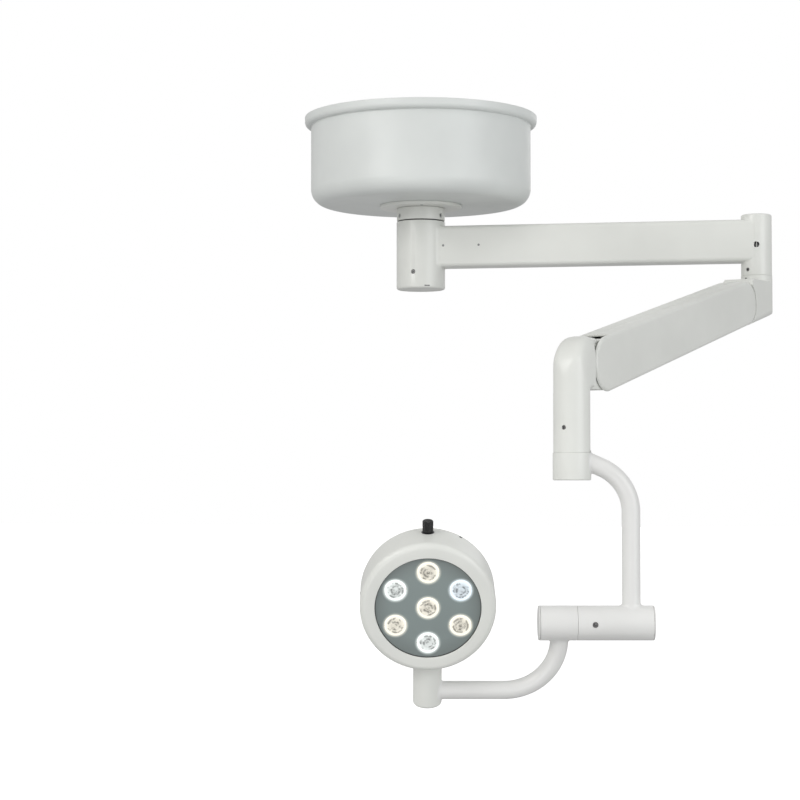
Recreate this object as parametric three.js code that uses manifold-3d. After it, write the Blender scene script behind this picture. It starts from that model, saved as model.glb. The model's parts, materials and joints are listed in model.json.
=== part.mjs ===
// Ceiling-mounted surgical light: a canopy on the ceiling, a horizontal swivel arm, a spring-balanced
// arm with its parallelogram tie rod, two bent tubes and a round head with seven LEDs.
// Millimetres, +Z up. The origin is the centre of the ceiling plate's upper face, and +X runs along
// the horizontal arm.

import * as THREE from 'three';
import { mergeVertices } from 'three/addons/utils/BufferGeometryUtils.js';
import Module from 'manifold-3d';

const wasm = await Module();
wasm.setup();

// ---------------------------------------------------------------- driving dimensions

const GAP = 0.3; // between pieces that touch
const SLIDE = 0.4; // between a shaft and its bore
const SCREW_RADIUS = 4;
const SCREW_HOLE = 4.3;
const SCREW_SINK = 1; // depth of a set screw's face below the surface around it

// ceiling mount
const PLATE_RADIUS = 150;
const PLATE_THICKNESS = 12;
const ANCHOR_CIRCLE = 120;
const ANCHOR_BOLTS = 4;
const ANCHOR_HOLE = 6.6;
const BOLT_RADIUS = 6;
const BOLT_HEAD_RADIUS = 11;
const BOLT_HEAD_BOTTOM = 10;
const WASHER_RADIUS = 12;
const WASHER_THICKNESS = 2.2;
const CABLE_HOLE_RADIUS = 12;
const CABLE_HOLE_X = -80;
const CANOPY_RADIUS = 204;
const CANOPY_HEIGHT = 164;
const CANOPY_FILLET = 29;
const CANOPY_WALL = 3;
const RIM_RADIUS = 215.5;
const RIM_HEIGHT = 18;
const RIM_FILLET = 8;
const DOWN_TUBE_RADIUS = 38;
const DOWN_TUBE_WALL = 4;
const FLANGE_RADIUS = 60;
const FLANGE_THICKNESS = 8;
const RING_RADIUS = 76;
const RING_BOTTOM = -170;
const RING_BEVEL = 3;
const COLLAR_RADIUS = 44.5;
const COLLAR_BOTTOM = -193.2;
const COLLAR_BEVEL = 0.8;
const COLLAR_SCREW_ANGLES = [-24.3, 95.7, 215.7];
const COLLAR_SCREW_HEIGHT = -185;
const SPINDLE_RADIUS = 30;
const SPINDLE_BORE = 22;
const SPINDLE_ENDS = [-315, -100];
const SPINDLE_HEAD = 8;
const NUT_RADIUS = 38;
const NUT_HEIGHT = 10;
const SEAM_WASHER_RADIUS = 42;
const DRIVER_HALF_LENGTH = 69;
const DRIVER_SIDES = [84, 136];
const DRIVER_HEIGHT = 38;
const GLAND_REACH = 7;
const GLAND_SIDES = [104, 116];

// horizontal arm
const POST_RADIUS = 45;
const POST_TOP = -195.2;
const POST_BOTTOM = -321;
const POST_BORE = 33;
const POST_SHELF = [-300, -282];
const POST_FOOT_BORE = 40;
const POST_FILLET = 4;
const POST_BEVEL = 1.2;
const POST_BRAKE_ANGLE = -99;
const POST_BRAKE_HEIGHT = -291;
const BEAM_HEIGHT = 76;
const BEAM_WIDTH = 55;
const BEAM_CENTRE = -243;
const BEAM_WALL = 4;
const BEAM_CORNER = 9;
const HUB_X = 614.2;
const HUB_RADIUS = 27.5;
const HUB_TOP = -195;
const HUB_BOTTOM = -306;
const HUB_BORE = 20;
const HUB_BEVEL = 2;
const HUB_BRAKE_HEIGHT = -251;
const HUB_SCREW_RADIUS = 5;
const HUB_SCREW_HOLE = 5.4;
const HUB_SCREW_FACE = 23;
const HUB_BUSH_HEIGHT = 35;
const CAP_SEAT_RADIUS = 22;
const CAP_SEAT_DEPTH = 6;
const CAP_CLEARANCE = 0.4;
const KNUCKLE_SHAFT = 15;

// spring arm, seen along its own line from the hub axis to the yoke axis
const ARM_YAW = -111.15;
const ARM_PITCH = 13.13;
const ARM_WIDTH = 56;
const ROOT_PIVOT = [110, -364];
const PIVOT_SPACING = 585.3;
const YOKE_AXIS_S = 750.5;
const ROOT_END_RADIUS = 38.2;
const YOKE_END_RADIUS = 42.1;
const COVER_WALL = 3;
const COVER_EDGE = 6;
const POCKET_RADIUS = 39.2;
const TONGUE_HALF = 18;
const TONGUE_RADIUS = 33;
const TONGUE_SLOT = 6.5;
const PLATE_INNER = 19;
const PLATE_OUTER = 22.5;
const PIN_RADIUS = 8;
const TIE_OFFSET = 22;
const TIE_PIN_RADIUS = 4;
const TIE_EYE_RADIUS = 8;
const KNUCKLE_TOP = -318;
const KNUCKLE_HEEL = 34;
const KNUCKLE_KEEL = 12;
const KNUCKLE_LIP = [92, -401.5];
const KNUCKLE_CORE = 24;
const SHAFT_TOP = -215;
const SPRING_LINE = -8;
const SPRING_START = 300;
const SPRING_END = 480;
const SPRING_TURNS = 10;
const SPRING_RADIUS = 13;
const SPRING_WIRE = 2.2;
const SPRING_ROD_RADIUS = 5;
const SPRING_ROD_START = 45;
const SPRING_CUP = 5;
const SPRING_NUT_RADIUS = 9;
const SPRING_NUT = 9;
const WEB_HEIGHTS = [-30, -27];

// yoke and swivel collar
const YOKE_RADIUS = 27.5;
const YOKE_TOP = -457;
const YOKE_BOTTOM = -632;
const SHOULDER_REACH = 51;
const SHOULDER_DROP = 62;
const NECK_HALF = 22;
const NECK_START = 16;
const NECK_BOTTOM = -537;
const RELIEF_RADIUS = 36.5;
const LIP_RADIUS = 38.2;
const LIP_HALF = 18.5;
const LIP_ANGLES = [56, 100];
const YOKE_BRAKE_HEIGHT = -595;
const SWIVEL_RADIUS = 28.5;
const SWIVEL_BOTTOM = -673;
const SWIVEL_SHAFT = 15;
const SWIVEL_SHAFT_TOP = -565;
const SWIVEL_BEVELS = [2, 0.8];
const YOKE_BORE_TOP = -560;
const YOKE_SCREW_RADIUS = 3;

// bent tubes and the cross pivot, seen from the yoke axis
const TUBE_YAW = 10;
const TUBE_RADIUS = 13.75;
const TUBE_WALL = 2;
const UPPER_BEND = 72;
const UPPER_SLOPE = 24;
const UPPER_LEG_X = 87.4;
const UPPER_BEND_Z = -720;
const CROSS_Z = -884;
const CROSS_RADIUS = 26;
const CROSS_LEFT = -50.7;
const CROSS_RIGHT = 121.3;
const CROSS_SEAM = 6.5;
const CROSS_CAP = 2.4;
const CROSS_SHAFT = 12;
const CROSS_SHAFT_END = 108;
const CROSS_BRAKE_X = 31.9;
const CROSS_BRAKE_DROP = 3;
const LOWER_TILT = 18.65;
const LOWER_LEG_X = -19.2;
const LOWER_BEND = 80;
const LOWER_DROP = 108;
const SOCKET_X = -214.5;
const SOCKET_RADIUS = 21.5;
const SOCKET_TOP = -66;
const SOCKET_BOTTOM = -130.3;
const SOCKET_FILLET = 5;
const SOCKET_FLOOR = 8;
const STEM_RADIUS = 12;

// head, with its axis along Y and its front face towards -Y
const HEAD_RISE = 38;
const HEAD_FRONT = -38;
const HEAD_RADIUS = 100;
const HEAD_DEPTH = 72.5;
const HEAD_WALL = 3;
const HEAD_FILLET = 9;
const WINDOW_RADIUS = 78;
const PANEL_RADIUS = 80;
const PANEL_DEPTHS = [3.3, 6.3];
const BOARD_RADIUS = 76;
const BOARD_DEPTHS = [15.5, 17.5];
const SINK_RADIUS = 84;
const SINK_DEPTHS = [18, 24, 57];
const FIN_SPACING = 18;
const FIN_HALF = 1.5;
const SEAL_DEPTH = 2.3;
const SKIRT_WALL = 2.6;
const SKIRT_DEPTH = 10;
const LENS_RADIUS = 16;
const LENS_CIRCLE = 55;
const LENSES_AROUND = 6;
const KNOB_DEPTH = 51;
const KNOB_RADIUS = 8;
const KNOB_HEIGHT = 18;
const KNOB_RIBS = 16;
const KNOB_FLUTE = 0.8;
const KNOB_BORE = 3.4;
const POTENTIOMETER_SHAFT = 3;

// ---------------------------------------------------------------- joining and cutting

const rad = THREE.MathUtils.degToRad;
const pitch = rad(ARM_PITCH);
const YOKE_PIVOT = [
  ROOT_PIVOT[0] + PIVOT_SPACING * Math.cos(pitch),
  ROOT_PIVOT[1] - PIVOT_SPACING * Math.sin(pitch),
];

function toSolid(geometry) {
  const bare = geometry.clone();
  for (const name of Object.keys(bare.attributes)) {
    if (name !== 'position') {
      bare.deleteAttribute(name);
    }
  }
  const merged = mergeVertices(bare, 1e-4);
  const index = merged.index.array;
  const triangles = [];
  for (let i = 0; i < index.length; i += 3) {
    const [a, b, c] = index.slice(i, i + 3);
    if (a !== b && b !== c && c !== a) {
      triangles.push(a, b, c);
    }
  }
  return new wasm.Manifold(new wasm.Mesh({
    numProp: 3,
    vertProperties: new Float32Array(merged.attributes.position.array),
    triVerts: new Uint32Array(triangles),
  }));
}

function toGeometry(solid) {
  const mesh = solid.getMesh();
  const geometry = new THREE.BufferGeometry();
  geometry.setAttribute('position', new THREE.BufferAttribute(mesh.vertProperties, 3));
  geometry.setIndex(new THREE.BufferAttribute(mesh.triVerts, 1));
  geometry.computeVertexNormals();
  return geometry;
}

function combine(operation, first, others) {
  let solid = toSolid(first);
  for (const other of others) {
    solid = solid[operation](toSolid(other));
  }
  return toGeometry(solid);
}

const join = (first, ...others) => combine('add', first, others);
const cut = (first, ...others) => combine('subtract', first, others);
const common = (first, ...others) => combine('intersect', first, others);

// ---------------------------------------------------------------- plain shapes

const box = (x0, x1, y0, y1, z0, z1) => new THREE.BoxGeometry(x1 - x0, y1 - y0, z1 - z0)
  .translate((x0 + x1) / 2, (y0 + y1) / 2, (z0 + z1) / 2);

// a bar along Z, X or Y
const barZ = (radius, z0, z1, sides = 18) => new THREE.CylinderGeometry(radius, radius, z1 - z0, sides)
  .rotateX(Math.PI / 2)
  .translate(0, 0, (z0 + z1) / 2);
const barX = (radius, x0, x1, sides = 18) => barZ(radius, x0, x1, sides).rotateY(Math.PI / 2);
const barY = (radius, y0, y1, sides = 18) => barZ(radius, -y1, -y0, sides).rotateX(Math.PI / 2);

// points [radius, height] turned about Z; the outline closes on itself or runs from axis to axis
function turned(points, sides = 24) {
  const outline = points.map(([r, z]) => new THREE.Vector2(r, z));
  if (THREE.ShapeUtils.area(outline) < 0) {
    outline.reverse();
  }
  const onAxis = outline[0].x === 0 && outline[outline.length - 1].x === 0;
  if (!onAxis) {
    outline.push(outline[0].clone());
  }
  return new THREE.LatheGeometry(outline, sides).rotateX(Math.PI / 2);
}

function arc(cx, cy, radius, from, to, steps) {
  const points = [];
  for (let i = 0; i <= steps; i += 1) {
    const angle = rad(from + ((to - from) * i) / steps);
    points.push([cx + radius * Math.cos(angle), cy + radius * Math.sin(angle)]);
  }
  return points;
}

const ring = (outer, inner, z0, z1, sides = 24) => turned(
  [[inner, z0], [outer, z0], [outer, z1], [inner, z1]],
  sides,
);

// an outline in X and Z, given depth along Y on both sides of the middle plane
function slab(points, halfWidth, bevel = 0) {
  const shape = new THREE.Shape(points.map(([x, z]) => new THREE.Vector2(x, z)));
  const depth = 2 * (halfWidth - bevel);
  return new THREE.ExtrudeGeometry(shape, {
    depth,
    bevelEnabled: bevel > 0,
    bevelThickness: bevel,
    bevelSize: bevel,
    bevelOffset: -bevel,
    bevelSegments: 3,
  }).translate(0, 0, -depth / 2).rotateX(Math.PI / 2);
}

class Arc3 extends THREE.Curve {
  constructor(cx, cz, radius, from, to) {
    super();
    Object.assign(this, { cx, cz, radius, from, to });
  }

  getPoint(t, target = new THREE.Vector3()) {
    const angle = rad(this.from + (this.to - this.from) * t);
    return target.set(this.cx + this.radius * Math.cos(angle), 0, this.cz + this.radius * Math.sin(angle));
  }
}

function alongPath(path, radius, sides, steps) {
  const section = new THREE.Shape(
    arc(0, 0, radius, 0, 360 - 360 / sides, sides - 1).map(([x, y]) => new THREE.Vector2(x, y)),
  );
  return new THREE.ExtrudeGeometry(section, { steps, extrudePath: path });
}

// straight, bend, straight, all in the XZ plane
function tubePath(start, bend, end) {
  const path = new THREE.CurvePath();
  const first = bend.getPoint(0);
  const last = bend.getPoint(1);
  path.add(new THREE.LineCurve3(start, first));
  path.add(bend);
  path.add(new THREE.LineCurve3(last, end));
  return path;
}

// a set screw along a radius of a vertical post: its socket faces outwards
function setScrew(radius, inner, outer) {
  const socketDepth = radius;
  const body = barX(radius, inner, outer, 12);
  const socket = barX(radius * 0.55, outer - socketDepth, outer + 1, 6);
  return cut(body, socket);
}

const aimed = (geometry, angle, z) => geometry.rotateZ(rad(angle)).translate(0, 0, z);

// ---------------------------------------------------------------- finishes

const paint = (color, roughness, metalness) => () => new THREE.MeshStandardMaterial({
  color,
  roughness,
  metalness,
});
const whitePaint = paint(0xe1e2dc, 0.4, 0);
const canopyWhite = paint(0xd9dcda, 0.28, 0);
const steel = paint(0xa8aaac, 0.35, 1);
const darkSteel = paint(0x55565a, 0.45, 1);
const aluminium = paint(0xc4c6c8, 0.4, 1);
const bronze = paint(0xb08d57, 0.5, 1);
const nylon = paint(0x2a2a28, 0.6, 0);
const greyPanel = paint(0x808a88, 0.5, 0);
const clearLens = paint(0xf4f1e6, 0.1, 0);
const blackPlastic = paint(0x141414, 0.5, 0);
const boxPlastic = paint(0xd8d8d4, 0.6, 0);
const boardWhite = paint(0xe9ece9, 0.5, 0);

function put(parent, name, geometry, finish) {
  const mesh = new THREE.Mesh(geometry, finish());
  mesh.name = name;
  parent.add(mesh);
}

// ---------------------------------------------------------------- ceiling mount

const onAnchorCircle = (geometry, index) => geometry
  .translate(ANCHOR_CIRCLE, 0, 0)
  .rotateZ(rad(45 + (360 * index) / ANCHOR_BOLTS));

function ceilingPlate() {
  const tools = [];
  for (let i = 0; i < ANCHOR_BOLTS; i += 1) {
    tools.push(onAnchorCircle(barZ(ANCHOR_HOLE, -20, 20, 10), i));
  }
  tools.push(barZ(CABLE_HOLE_RADIUS, -20, 20, 12).translate(CABLE_HOLE_X, 0, 0));
  return cut(barZ(PLATE_RADIUS, -PLATE_THICKNESS, 0, 32), ...tools);
}

function anchorBolt(index) {
  const under = -PLATE_THICKNESS - GAP;
  const washer = barZ(WASHER_RADIUS, under - WASHER_THICKNESS, under, 12);
  const head = barZ(BOLT_HEAD_RADIUS, under - BOLT_HEAD_BOTTOM, under - WASHER_THICKNESS, 6);
  const shank = barZ(BOLT_RADIUS, under - 5, -0.5, 10);
  return onAnchorCircle(join(shank, washer, head), index);
}

function canopyShell() {
  const hole = DOWN_TUBE_RADIUS + 1;
  const flat = CANOPY_RADIUS - CANOPY_FILLET;
  const turn = CANOPY_FILLET - CANOPY_HEIGHT;
  const rimFlat = RIM_RADIUS - RIM_FILLET;
  const rimTurn = RIM_FILLET - RIM_HEIGHT;
  const inner = CANOPY_RADIUS - CANOPY_WALL;
  return turned([
    [hole, -CANOPY_HEIGHT],
    ...arc(flat, turn, CANOPY_FILLET, -90, 0, 4),
    [CANOPY_RADIUS, -RIM_HEIGHT],
    ...arc(rimFlat, rimTurn, RIM_FILLET, -90, 0, 2),
    [RIM_RADIUS, -0.5],
    [RIM_RADIUS - CANOPY_WALL, -0.5],
    ...arc(rimFlat, rimTurn, RIM_FILLET - CANOPY_WALL, 0, -90, 1),
    [inner, CANOPY_WALL - RIM_HEIGHT],
    ...arc(flat, turn, CANOPY_FILLET - CANOPY_WALL, 0, -90, 2),
    [hole, CANOPY_WALL - CANOPY_HEIGHT],
  ], 32);
}

function canopyRing() {
  const top = -CANOPY_HEIGHT - GAP;
  return turned([
    [DOWN_TUBE_RADIUS + GAP, RING_BOTTOM],
    [RING_RADIUS - RING_BEVEL, RING_BOTTOM],
    [RING_RADIUS, RING_BOTTOM + RING_BEVEL],
    [RING_RADIUS, top],
    [DOWN_TUBE_RADIUS + GAP, top],
  ]);
}

function downTube() {
  const top = -PLATE_THICKNESS - GAP;
  const inner = DOWN_TUBE_RADIUS - DOWN_TUBE_WALL;
  return turned([
    [inner, RING_BOTTOM],
    [DOWN_TUBE_RADIUS, RING_BOTTOM],
    [DOWN_TUBE_RADIUS, top - FLANGE_THICKNESS],
    [FLANGE_RADIUS, top - FLANGE_THICKNESS],
    [FLANGE_RADIUS, top],
    [inner, top],
  ]);
}

function fixedCollar() {
  const bore = SPINDLE_RADIUS + SLIDE;
  const top = RING_BOTTOM - GAP;
  const holes = COLLAR_SCREW_ANGLES.map(
    (angle) => aimed(barX(SCREW_HOLE, 20, 60, 12), angle, COLLAR_SCREW_HEIGHT),
  );
  const body = turned([
    [bore, COLLAR_BOTTOM],
    [COLLAR_RADIUS - COLLAR_BEVEL, COLLAR_BOTTOM],
    [COLLAR_RADIUS, COLLAR_BOTTOM + COLLAR_BEVEL],
    [COLLAR_RADIUS, top],
    [bore, top],
  ]);
  return cut(body, ...holes);
}

function spindle() {
  const [bottom, top] = SPINDLE_ENDS;
  const nutTop = POST_SHELF[0] - 3.6;
  const headRadius = DOWN_TUBE_RADIUS - DOWN_TUBE_WALL - SLIDE;
  return turned([
    [SPINDLE_BORE, bottom],
    [SPINDLE_RADIUS, bottom],
    [SPINDLE_RADIUS, nutTop - NUT_HEIGHT],
    [NUT_RADIUS, nutTop - NUT_HEIGHT],
    [NUT_RADIUS, nutTop],
    [SPINDLE_RADIUS, nutTop],
    [SPINDLE_RADIUS, top - SPINDLE_HEAD],
    [headRadius, top - SPINDLE_HEAD],
    [headRadius, top],
    [SPINDLE_BORE, top],
  ]);
}

function driverBox() {
  const top = -PLATE_THICKNESS - GAP;
  const half = DRIVER_HALF_LENGTH;
  const body = box(-half, half, ...DRIVER_SIDES, top - DRIVER_HEIGHT, top);
  const glands = box(-half - GLAND_REACH, half + GLAND_REACH, ...GLAND_SIDES, top - 24, top - 12);
  return join(body, glands);
}

function ceilingMount() {
  const mount = new THREE.Group();
  put(mount, 'ceiling_plate', ceilingPlate(), steel);
  for (let i = 0; i < ANCHOR_BOLTS; i += 1) {
    put(mount, `anchor_bolt_${i + 1}`, anchorBolt(i), steel);
  }
  put(mount, 'canopy_shell', canopyShell(), canopyWhite);
  put(mount, 'canopy_ring', canopyRing(), whitePaint);
  put(mount, 'down_tube', downTube(), steel);
  put(mount, 'fixed_collar', fixedCollar(), whitePaint);
  put(mount, 'spindle', spindle(), steel);
  const washer = ring(SEAM_WASHER_RADIUS, SPINDLE_RADIUS + 0.5, POST_TOP + 0.2, COLLAR_BOTTOM - 0.2);
  put(mount, 'seam_washer', washer, nylon);
  put(mount, 'driver_box', driverBox(), boxPlastic);
  return mount;
}

// ---------------------------------------------------------------- horizontal arm

function armPost() {
  const shelfBore = SPINDLE_RADIUS + 1;
  const [shelfBottom, shelfTop] = POST_SHELF;
  const body = turned([
    [POST_BORE, POST_TOP],
    [POST_BORE, shelfTop],
    [shelfBore, shelfTop],
    [shelfBore, shelfBottom],
    [POST_FOOT_BORE, shelfBottom],
    [POST_FOOT_BORE, POST_BOTTOM],
    ...arc(POST_RADIUS - POST_FILLET, POST_BOTTOM + POST_FILLET, POST_FILLET, -90, 0, 2),
    [POST_RADIUS, POST_TOP - POST_BEVEL],
    [POST_RADIUS - POST_BEVEL, POST_TOP],
  ]);
  return cut(body, aimed(barX(SCREW_HOLE, 20, 60, 12), POST_BRAKE_ANGLE, POST_BRAKE_HEIGHT));
}

function roundedRectangle(width, height, corner) {
  const w = width / 2 - corner;
  const h = height / 2 - corner;
  return [
    ...arc(w, h, corner, 0, 90, 3),
    ...arc(-w, h, corner, 90, 180, 3),
    ...arc(-w, -h, corner, 180, 270, 3),
    ...arc(w, -h, corner, 270, 360, 3),
  ];
}

function beamSection(inset) {
  const outline = roundedRectangle(BEAM_WIDTH - 2 * inset, BEAM_HEIGHT - 2 * inset, BEAM_CORNER - inset);
  const shape = new THREE.Shape(outline.map(([y, z]) => new THREE.Vector2(y, z)));
  return new THREE.ExtrudeGeometry(shape, { depth: HUB_X, bevelEnabled: false })
    .rotateX(Math.PI / 2)
    .rotateZ(Math.PI / 2)
    .translate(0, 0, BEAM_CENTRE);
}

function armBeam() {
  const post = barZ(POST_RADIUS + GAP, POST_BOTTOM, 0, 24);
  const hub = barZ(HUB_RADIUS + GAP, HUB_BOTTOM - 10, 0, 24).translate(HUB_X, 0, 0);
  return cut(beamSection(0), beamSection(BEAM_WALL), post, hub);
}

function armEndHub() {
  const body = turned([
    [HUB_BORE, HUB_BOTTOM],
    [HUB_RADIUS, HUB_BOTTOM],
    [HUB_RADIUS, HUB_TOP - HUB_BEVEL],
    [HUB_RADIUS - HUB_BEVEL, HUB_TOP],
    [CAP_SEAT_RADIUS, HUB_TOP],
    [CAP_SEAT_RADIUS, HUB_TOP - CAP_SEAT_DEPTH],
    [HUB_BORE, HUB_TOP - CAP_SEAT_DEPTH],
  ]);
  return cut(body, aimed(barX(HUB_SCREW_HOLE, 15, 40, 12), -90, HUB_BRAKE_HEIGHT)).translate(HUB_X, 0, 0);
}

function horizontalArm() {
  const arm = new THREE.Group();
  put(arm, 'arm_post', armPost(), whitePaint);
  put(arm, 'arm_beam', armBeam(), whitePaint);
  put(arm, 'arm_end_hub', armEndHub(), whitePaint);
  const postBush = ring(POST_BORE - GAP, SPINDLE_RADIUS + 0.6, POST_SHELF[1] + GAP, POST_TOP - 1);
  put(arm, 'post_bush', postBush, bronze);
  const footCap = barZ(POST_FOOT_BORE - CAP_CLEARANCE, POST_BOTTOM + CAP_CLEARANCE, POST_BOTTOM + 4, 24);
  put(arm, 'post_bottom_cap', footCap, whitePaint);
  const hubCap = barZ(CAP_SEAT_RADIUS - GAP, HUB_TOP - CAP_SEAT_DEPTH + GAP, HUB_TOP - CAP_CLEARANCE, 24);
  put(arm, 'end_hub_cap', hubCap.translate(HUB_X, 0, 0), whitePaint);
  const postScrew = setScrew(SCREW_RADIUS, SPINDLE_RADIUS + 0.6, POST_RADIUS - 1.5 * SCREW_SINK);
  put(arm, 'post_brake_screw', aimed(postScrew, POST_BRAKE_ANGLE, POST_BRAKE_HEIGHT), darkSteel);
  const hubScrew = setScrew(HUB_SCREW_RADIUS, KNUCKLE_SHAFT + 0.6, HUB_SCREW_FACE);
  put(arm, 'end_brake_screw', aimed(hubScrew, -90, HUB_BRAKE_HEIGHT).translate(HUB_X, 0, 0), darkSteel);
  const hubBushTop = HUB_BOTTOM + HUB_BUSH_HEIGHT;
  const hubBush = ring(HUB_BORE - GAP, KNUCKLE_SHAFT + SLIDE, HUB_BOTTOM + GAP, hubBushTop);
  put(arm, 'hub_bush', hubBush.translate(HUB_X, 0, 0), bronze);
  return arm;
}

// ---------------------------------------------------------------- root knuckle

const acrossAt = (geometry, s, z) => geometry.translate(s, 0, z);

// the round tongue that carries a pivot pin and, above it, the tie rod's pin
function tongue(s, z) {
  return acrossAt(barY(TONGUE_RADIUS, -TONGUE_HALF, TONGUE_HALF, 24), s, z);
}

function pinHoles(s, z) {
  return [
    acrossAt(barY(PIN_RADIUS + GAP, -60, 60, 16), s, z),
    acrossAt(barY(TIE_PIN_RADIUS + GAP, -60, 60, 12), s, z + TIE_OFFSET),
  ];
}

// the casting under the hub: its underside runs in line with the arm's lower edge, with a round heel
function rootKnuckle() {
  const [s, z] = ROOT_PIVOT;
  const half = ARM_WIDTH / 2;
  const [lipS, lipZ] = KNUCKLE_LIP;
  const heelS = KNUCKLE_HEEL - half;
  const heelZ = lipZ + (lipS - heelS) * Math.tan(pitch) + KNUCKLE_HEEL / Math.cos(pitch);
  const side = slab([
    [-half, KNUCKLE_TOP],
    ...arc(heelS, heelZ, KNUCKLE_HEEL, 180, 270 - ARM_PITCH, 6),
    KNUCKLE_LIP,
    ...arc(s, z, POCKET_RADIUS, 222.3, 120.7, 10),
    [90, KNUCKLE_TOP - 5],
    [83, KNUCKLE_TOP],
  ], half);
  const plan = join(barZ(half, -440, -300, 24), box(0, 120, -half, half, -440, -300));
  const keel = slab([
    [half, 200],
    [-half, 200],
    ...arc(KNUCKLE_KEEL - half, KNUCKLE_KEEL, KNUCKLE_KEEL, 180, 270, 4),
    ...arc(half - KNUCKLE_KEEL, KNUCKLE_KEEL, KNUCKLE_KEEL, 270, 360, 4),
  ], 200).rotateZ(Math.PI / 2).rotateY(pitch).translate(lipS, 0, lipZ);
  const boss = barZ(half, KNUCKLE_TOP - 2, HUB_BOTTOM - 0.5, 24);
  const shaft = barZ(KNUCKLE_SHAFT, KNUCKLE_TOP - 2, SHAFT_TOP, 20);
  const neck = box(60, s, -TONGUE_HALF, TONGUE_HALF, z - KNUCKLE_CORE, z + KNUCKLE_CORE);
  const slot = box(s - 13, s + 60, -TONGUE_SLOT, TONGUE_SLOT, z - 60, z + 60);
  const holding = cut(join(neck, tongue(s, z)), slot, ...pinHoles(s, z));
  return join(common(side, plan, keel), boss, shaft, holding);
}

const pivotPin = (s, z) => acrossAt(barY(PIN_RADIUS, -24.2, 24.2, 16), s, z);
const tiePin = (s, z, radius) => acrossAt(barY(radius, -18.4, 18.4, 12), s, z + TIE_OFFSET);

// ---------------------------------------------------------------- spring arm

// two circles of different radius joined by their outer tangents
function taperedOutline(startRadius, endRadius, steps) {
  const lean = THREE.MathUtils.radToDeg(Math.asin((endRadius - startRadius) / PIVOT_SPACING));
  return [
    ...arc(0, 0, startRadius, 90 + lean, 270 - lean, steps),
    ...arc(PIVOT_SPACING, 0, endRadius, -90 - lean, 90 + lean, steps),
  ];
}

function springCover(side) {
  const outer = slab(taperedOutline(ROOT_END_RADIUS, YOKE_END_RADIUS, 14), ARM_WIDTH / 2, COVER_EDGE);
  const cavityOutline = taperedOutline(ROOT_END_RADIUS - COVER_WALL, YOKE_END_RADIUS - COVER_WALL, 12);
  const cavity = slab(cavityOutline, ARM_WIDTH / 2 - COVER_WALL);
  const neckSlot = NECK_HALF + 1.5;
  const end = PIVOT_SPACING;
  const slots = [
    box(end - 20, end + 60, -neckSlot, neckSlot, 0, 60),
    box(end - 8, end + 60, -neckSlot, neckSlot, -60, 1),
    box(-60, -8, -neckSlot, neckSlot, 0, 60),
    box(-60, 3, -neckSlot, neckSlot, -60, 1),
  ];
  const otherHalf = side > 0 ? box(-100, 700, -60, GAP / 2, -60, 60) : box(-100, 700, -GAP / 2, 60, -60, 60);
  return cut(outer, cavity, ...slots, otherHalf);
}

function armChannel() {
  const outline = taperedOutline(TONGUE_RADIUS, TONGUE_RADIUS, 10);
  const between = box(-60, 700, -PLATE_INNER, PLATE_INNER, -60, 60);
  const plates = cut(slab(outline, PLATE_OUTER), between);
  const web = box(45, PIVOT_SPACING - 45, -PLATE_INNER - 1, PLATE_INNER + 1, ...WEB_HEIGHTS);
  const holes = [0, PIVOT_SPACING].map((x) => barY(PIN_RADIUS + GAP, -60, 60, 16).translate(x, 0, 0));
  return cut(join(plates, web), ...holes);
}

class Helix extends THREE.Curve {
  getPoint(t, target = new THREE.Vector3()) {
    const angle = 2 * Math.PI * SPRING_TURNS * t;
    return target.set(
      SPRING_START + (SPRING_END - SPRING_START) * t,
      SPRING_RADIUS * Math.cos(angle),
      SPRING_LINE + SPRING_RADIUS * Math.sin(angle),
    );
  }
}

function springRod() {
  const cupStart = SPRING_END + SPRING_WIRE + GAP;
  const cupEnd = cupStart + SPRING_CUP;
  const rod = barX(SPRING_ROD_RADIUS, SPRING_ROD_START, cupStart + 24, 12);
  const cup = barX(SPRING_RADIUS + 1.5, cupStart, cupEnd, 16);
  const nut = barX(SPRING_NUT_RADIUS, cupEnd, cupEnd + SPRING_NUT, 6);
  return join(rod, cup, nut).translate(0, 0, SPRING_LINE);
}

function springSeat() {
  const front = SPRING_START - SPRING_WIRE - GAP;
  const plate = box(front - 7, front, -PLATE_INNER + GAP, PLATE_INNER - GAP, -26.6, 9);
  return cut(plate, barX(SPRING_ROD_RADIUS + SLIDE, 200, 400, 12).translate(0, 0, SPRING_LINE));
}

function tieRod() {
  const eyes = [0, PIVOT_SPACING].map((x) => barY(TIE_EYE_RADIUS, -5.5, 5.5, 16).translate(x, 0, 0));
  const holes = [0, PIVOT_SPACING].map((x) => barY(TIE_PIN_RADIUS + GAP, -20, 20, 12).translate(x, 0, 0));
  const rod = barX(TIE_PIN_RADIUS, 6, PIVOT_SPACING - 6, 12);
  return cut(join(rod, ...eyes), ...holes);
}

// ---------------------------------------------------------------- yoke

// an oval with softened corners, as points [across, up] about the origin
function softOval(halfWidth, halfHeight, steps) {
  const soften = (value) => Math.sign(value) * Math.sqrt(Math.abs(value));
  return arc(0, 0, 1, 0, 360 - 360 / steps, steps - 1)
    .map(([x, y]) => [halfWidth * soften(x), halfHeight * soften(y)]);
}

// a ball that is round seen along Y and has the soft oval's section across it
function softBall(reach, halfWidth, drop) {
  const ball = new THREE.SphereGeometry(1, 28, 14);
  const place = ball.attributes.position;
  for (let i = 0; i < place.count; i += 1) {
    const x = place.getX(i);
    const y = place.getY(i);
    const z = place.getZ(i);
    const spread = 1 / Math.sqrt(Math.max(Math.hypot(x, z), 1e-4));
    place.setXYZ(i, x * spread, Math.sign(y) * Math.sqrt(Math.abs(y)), z * spread);
  }
  return ball.scale(reach, halfWidth, drop);
}

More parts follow.
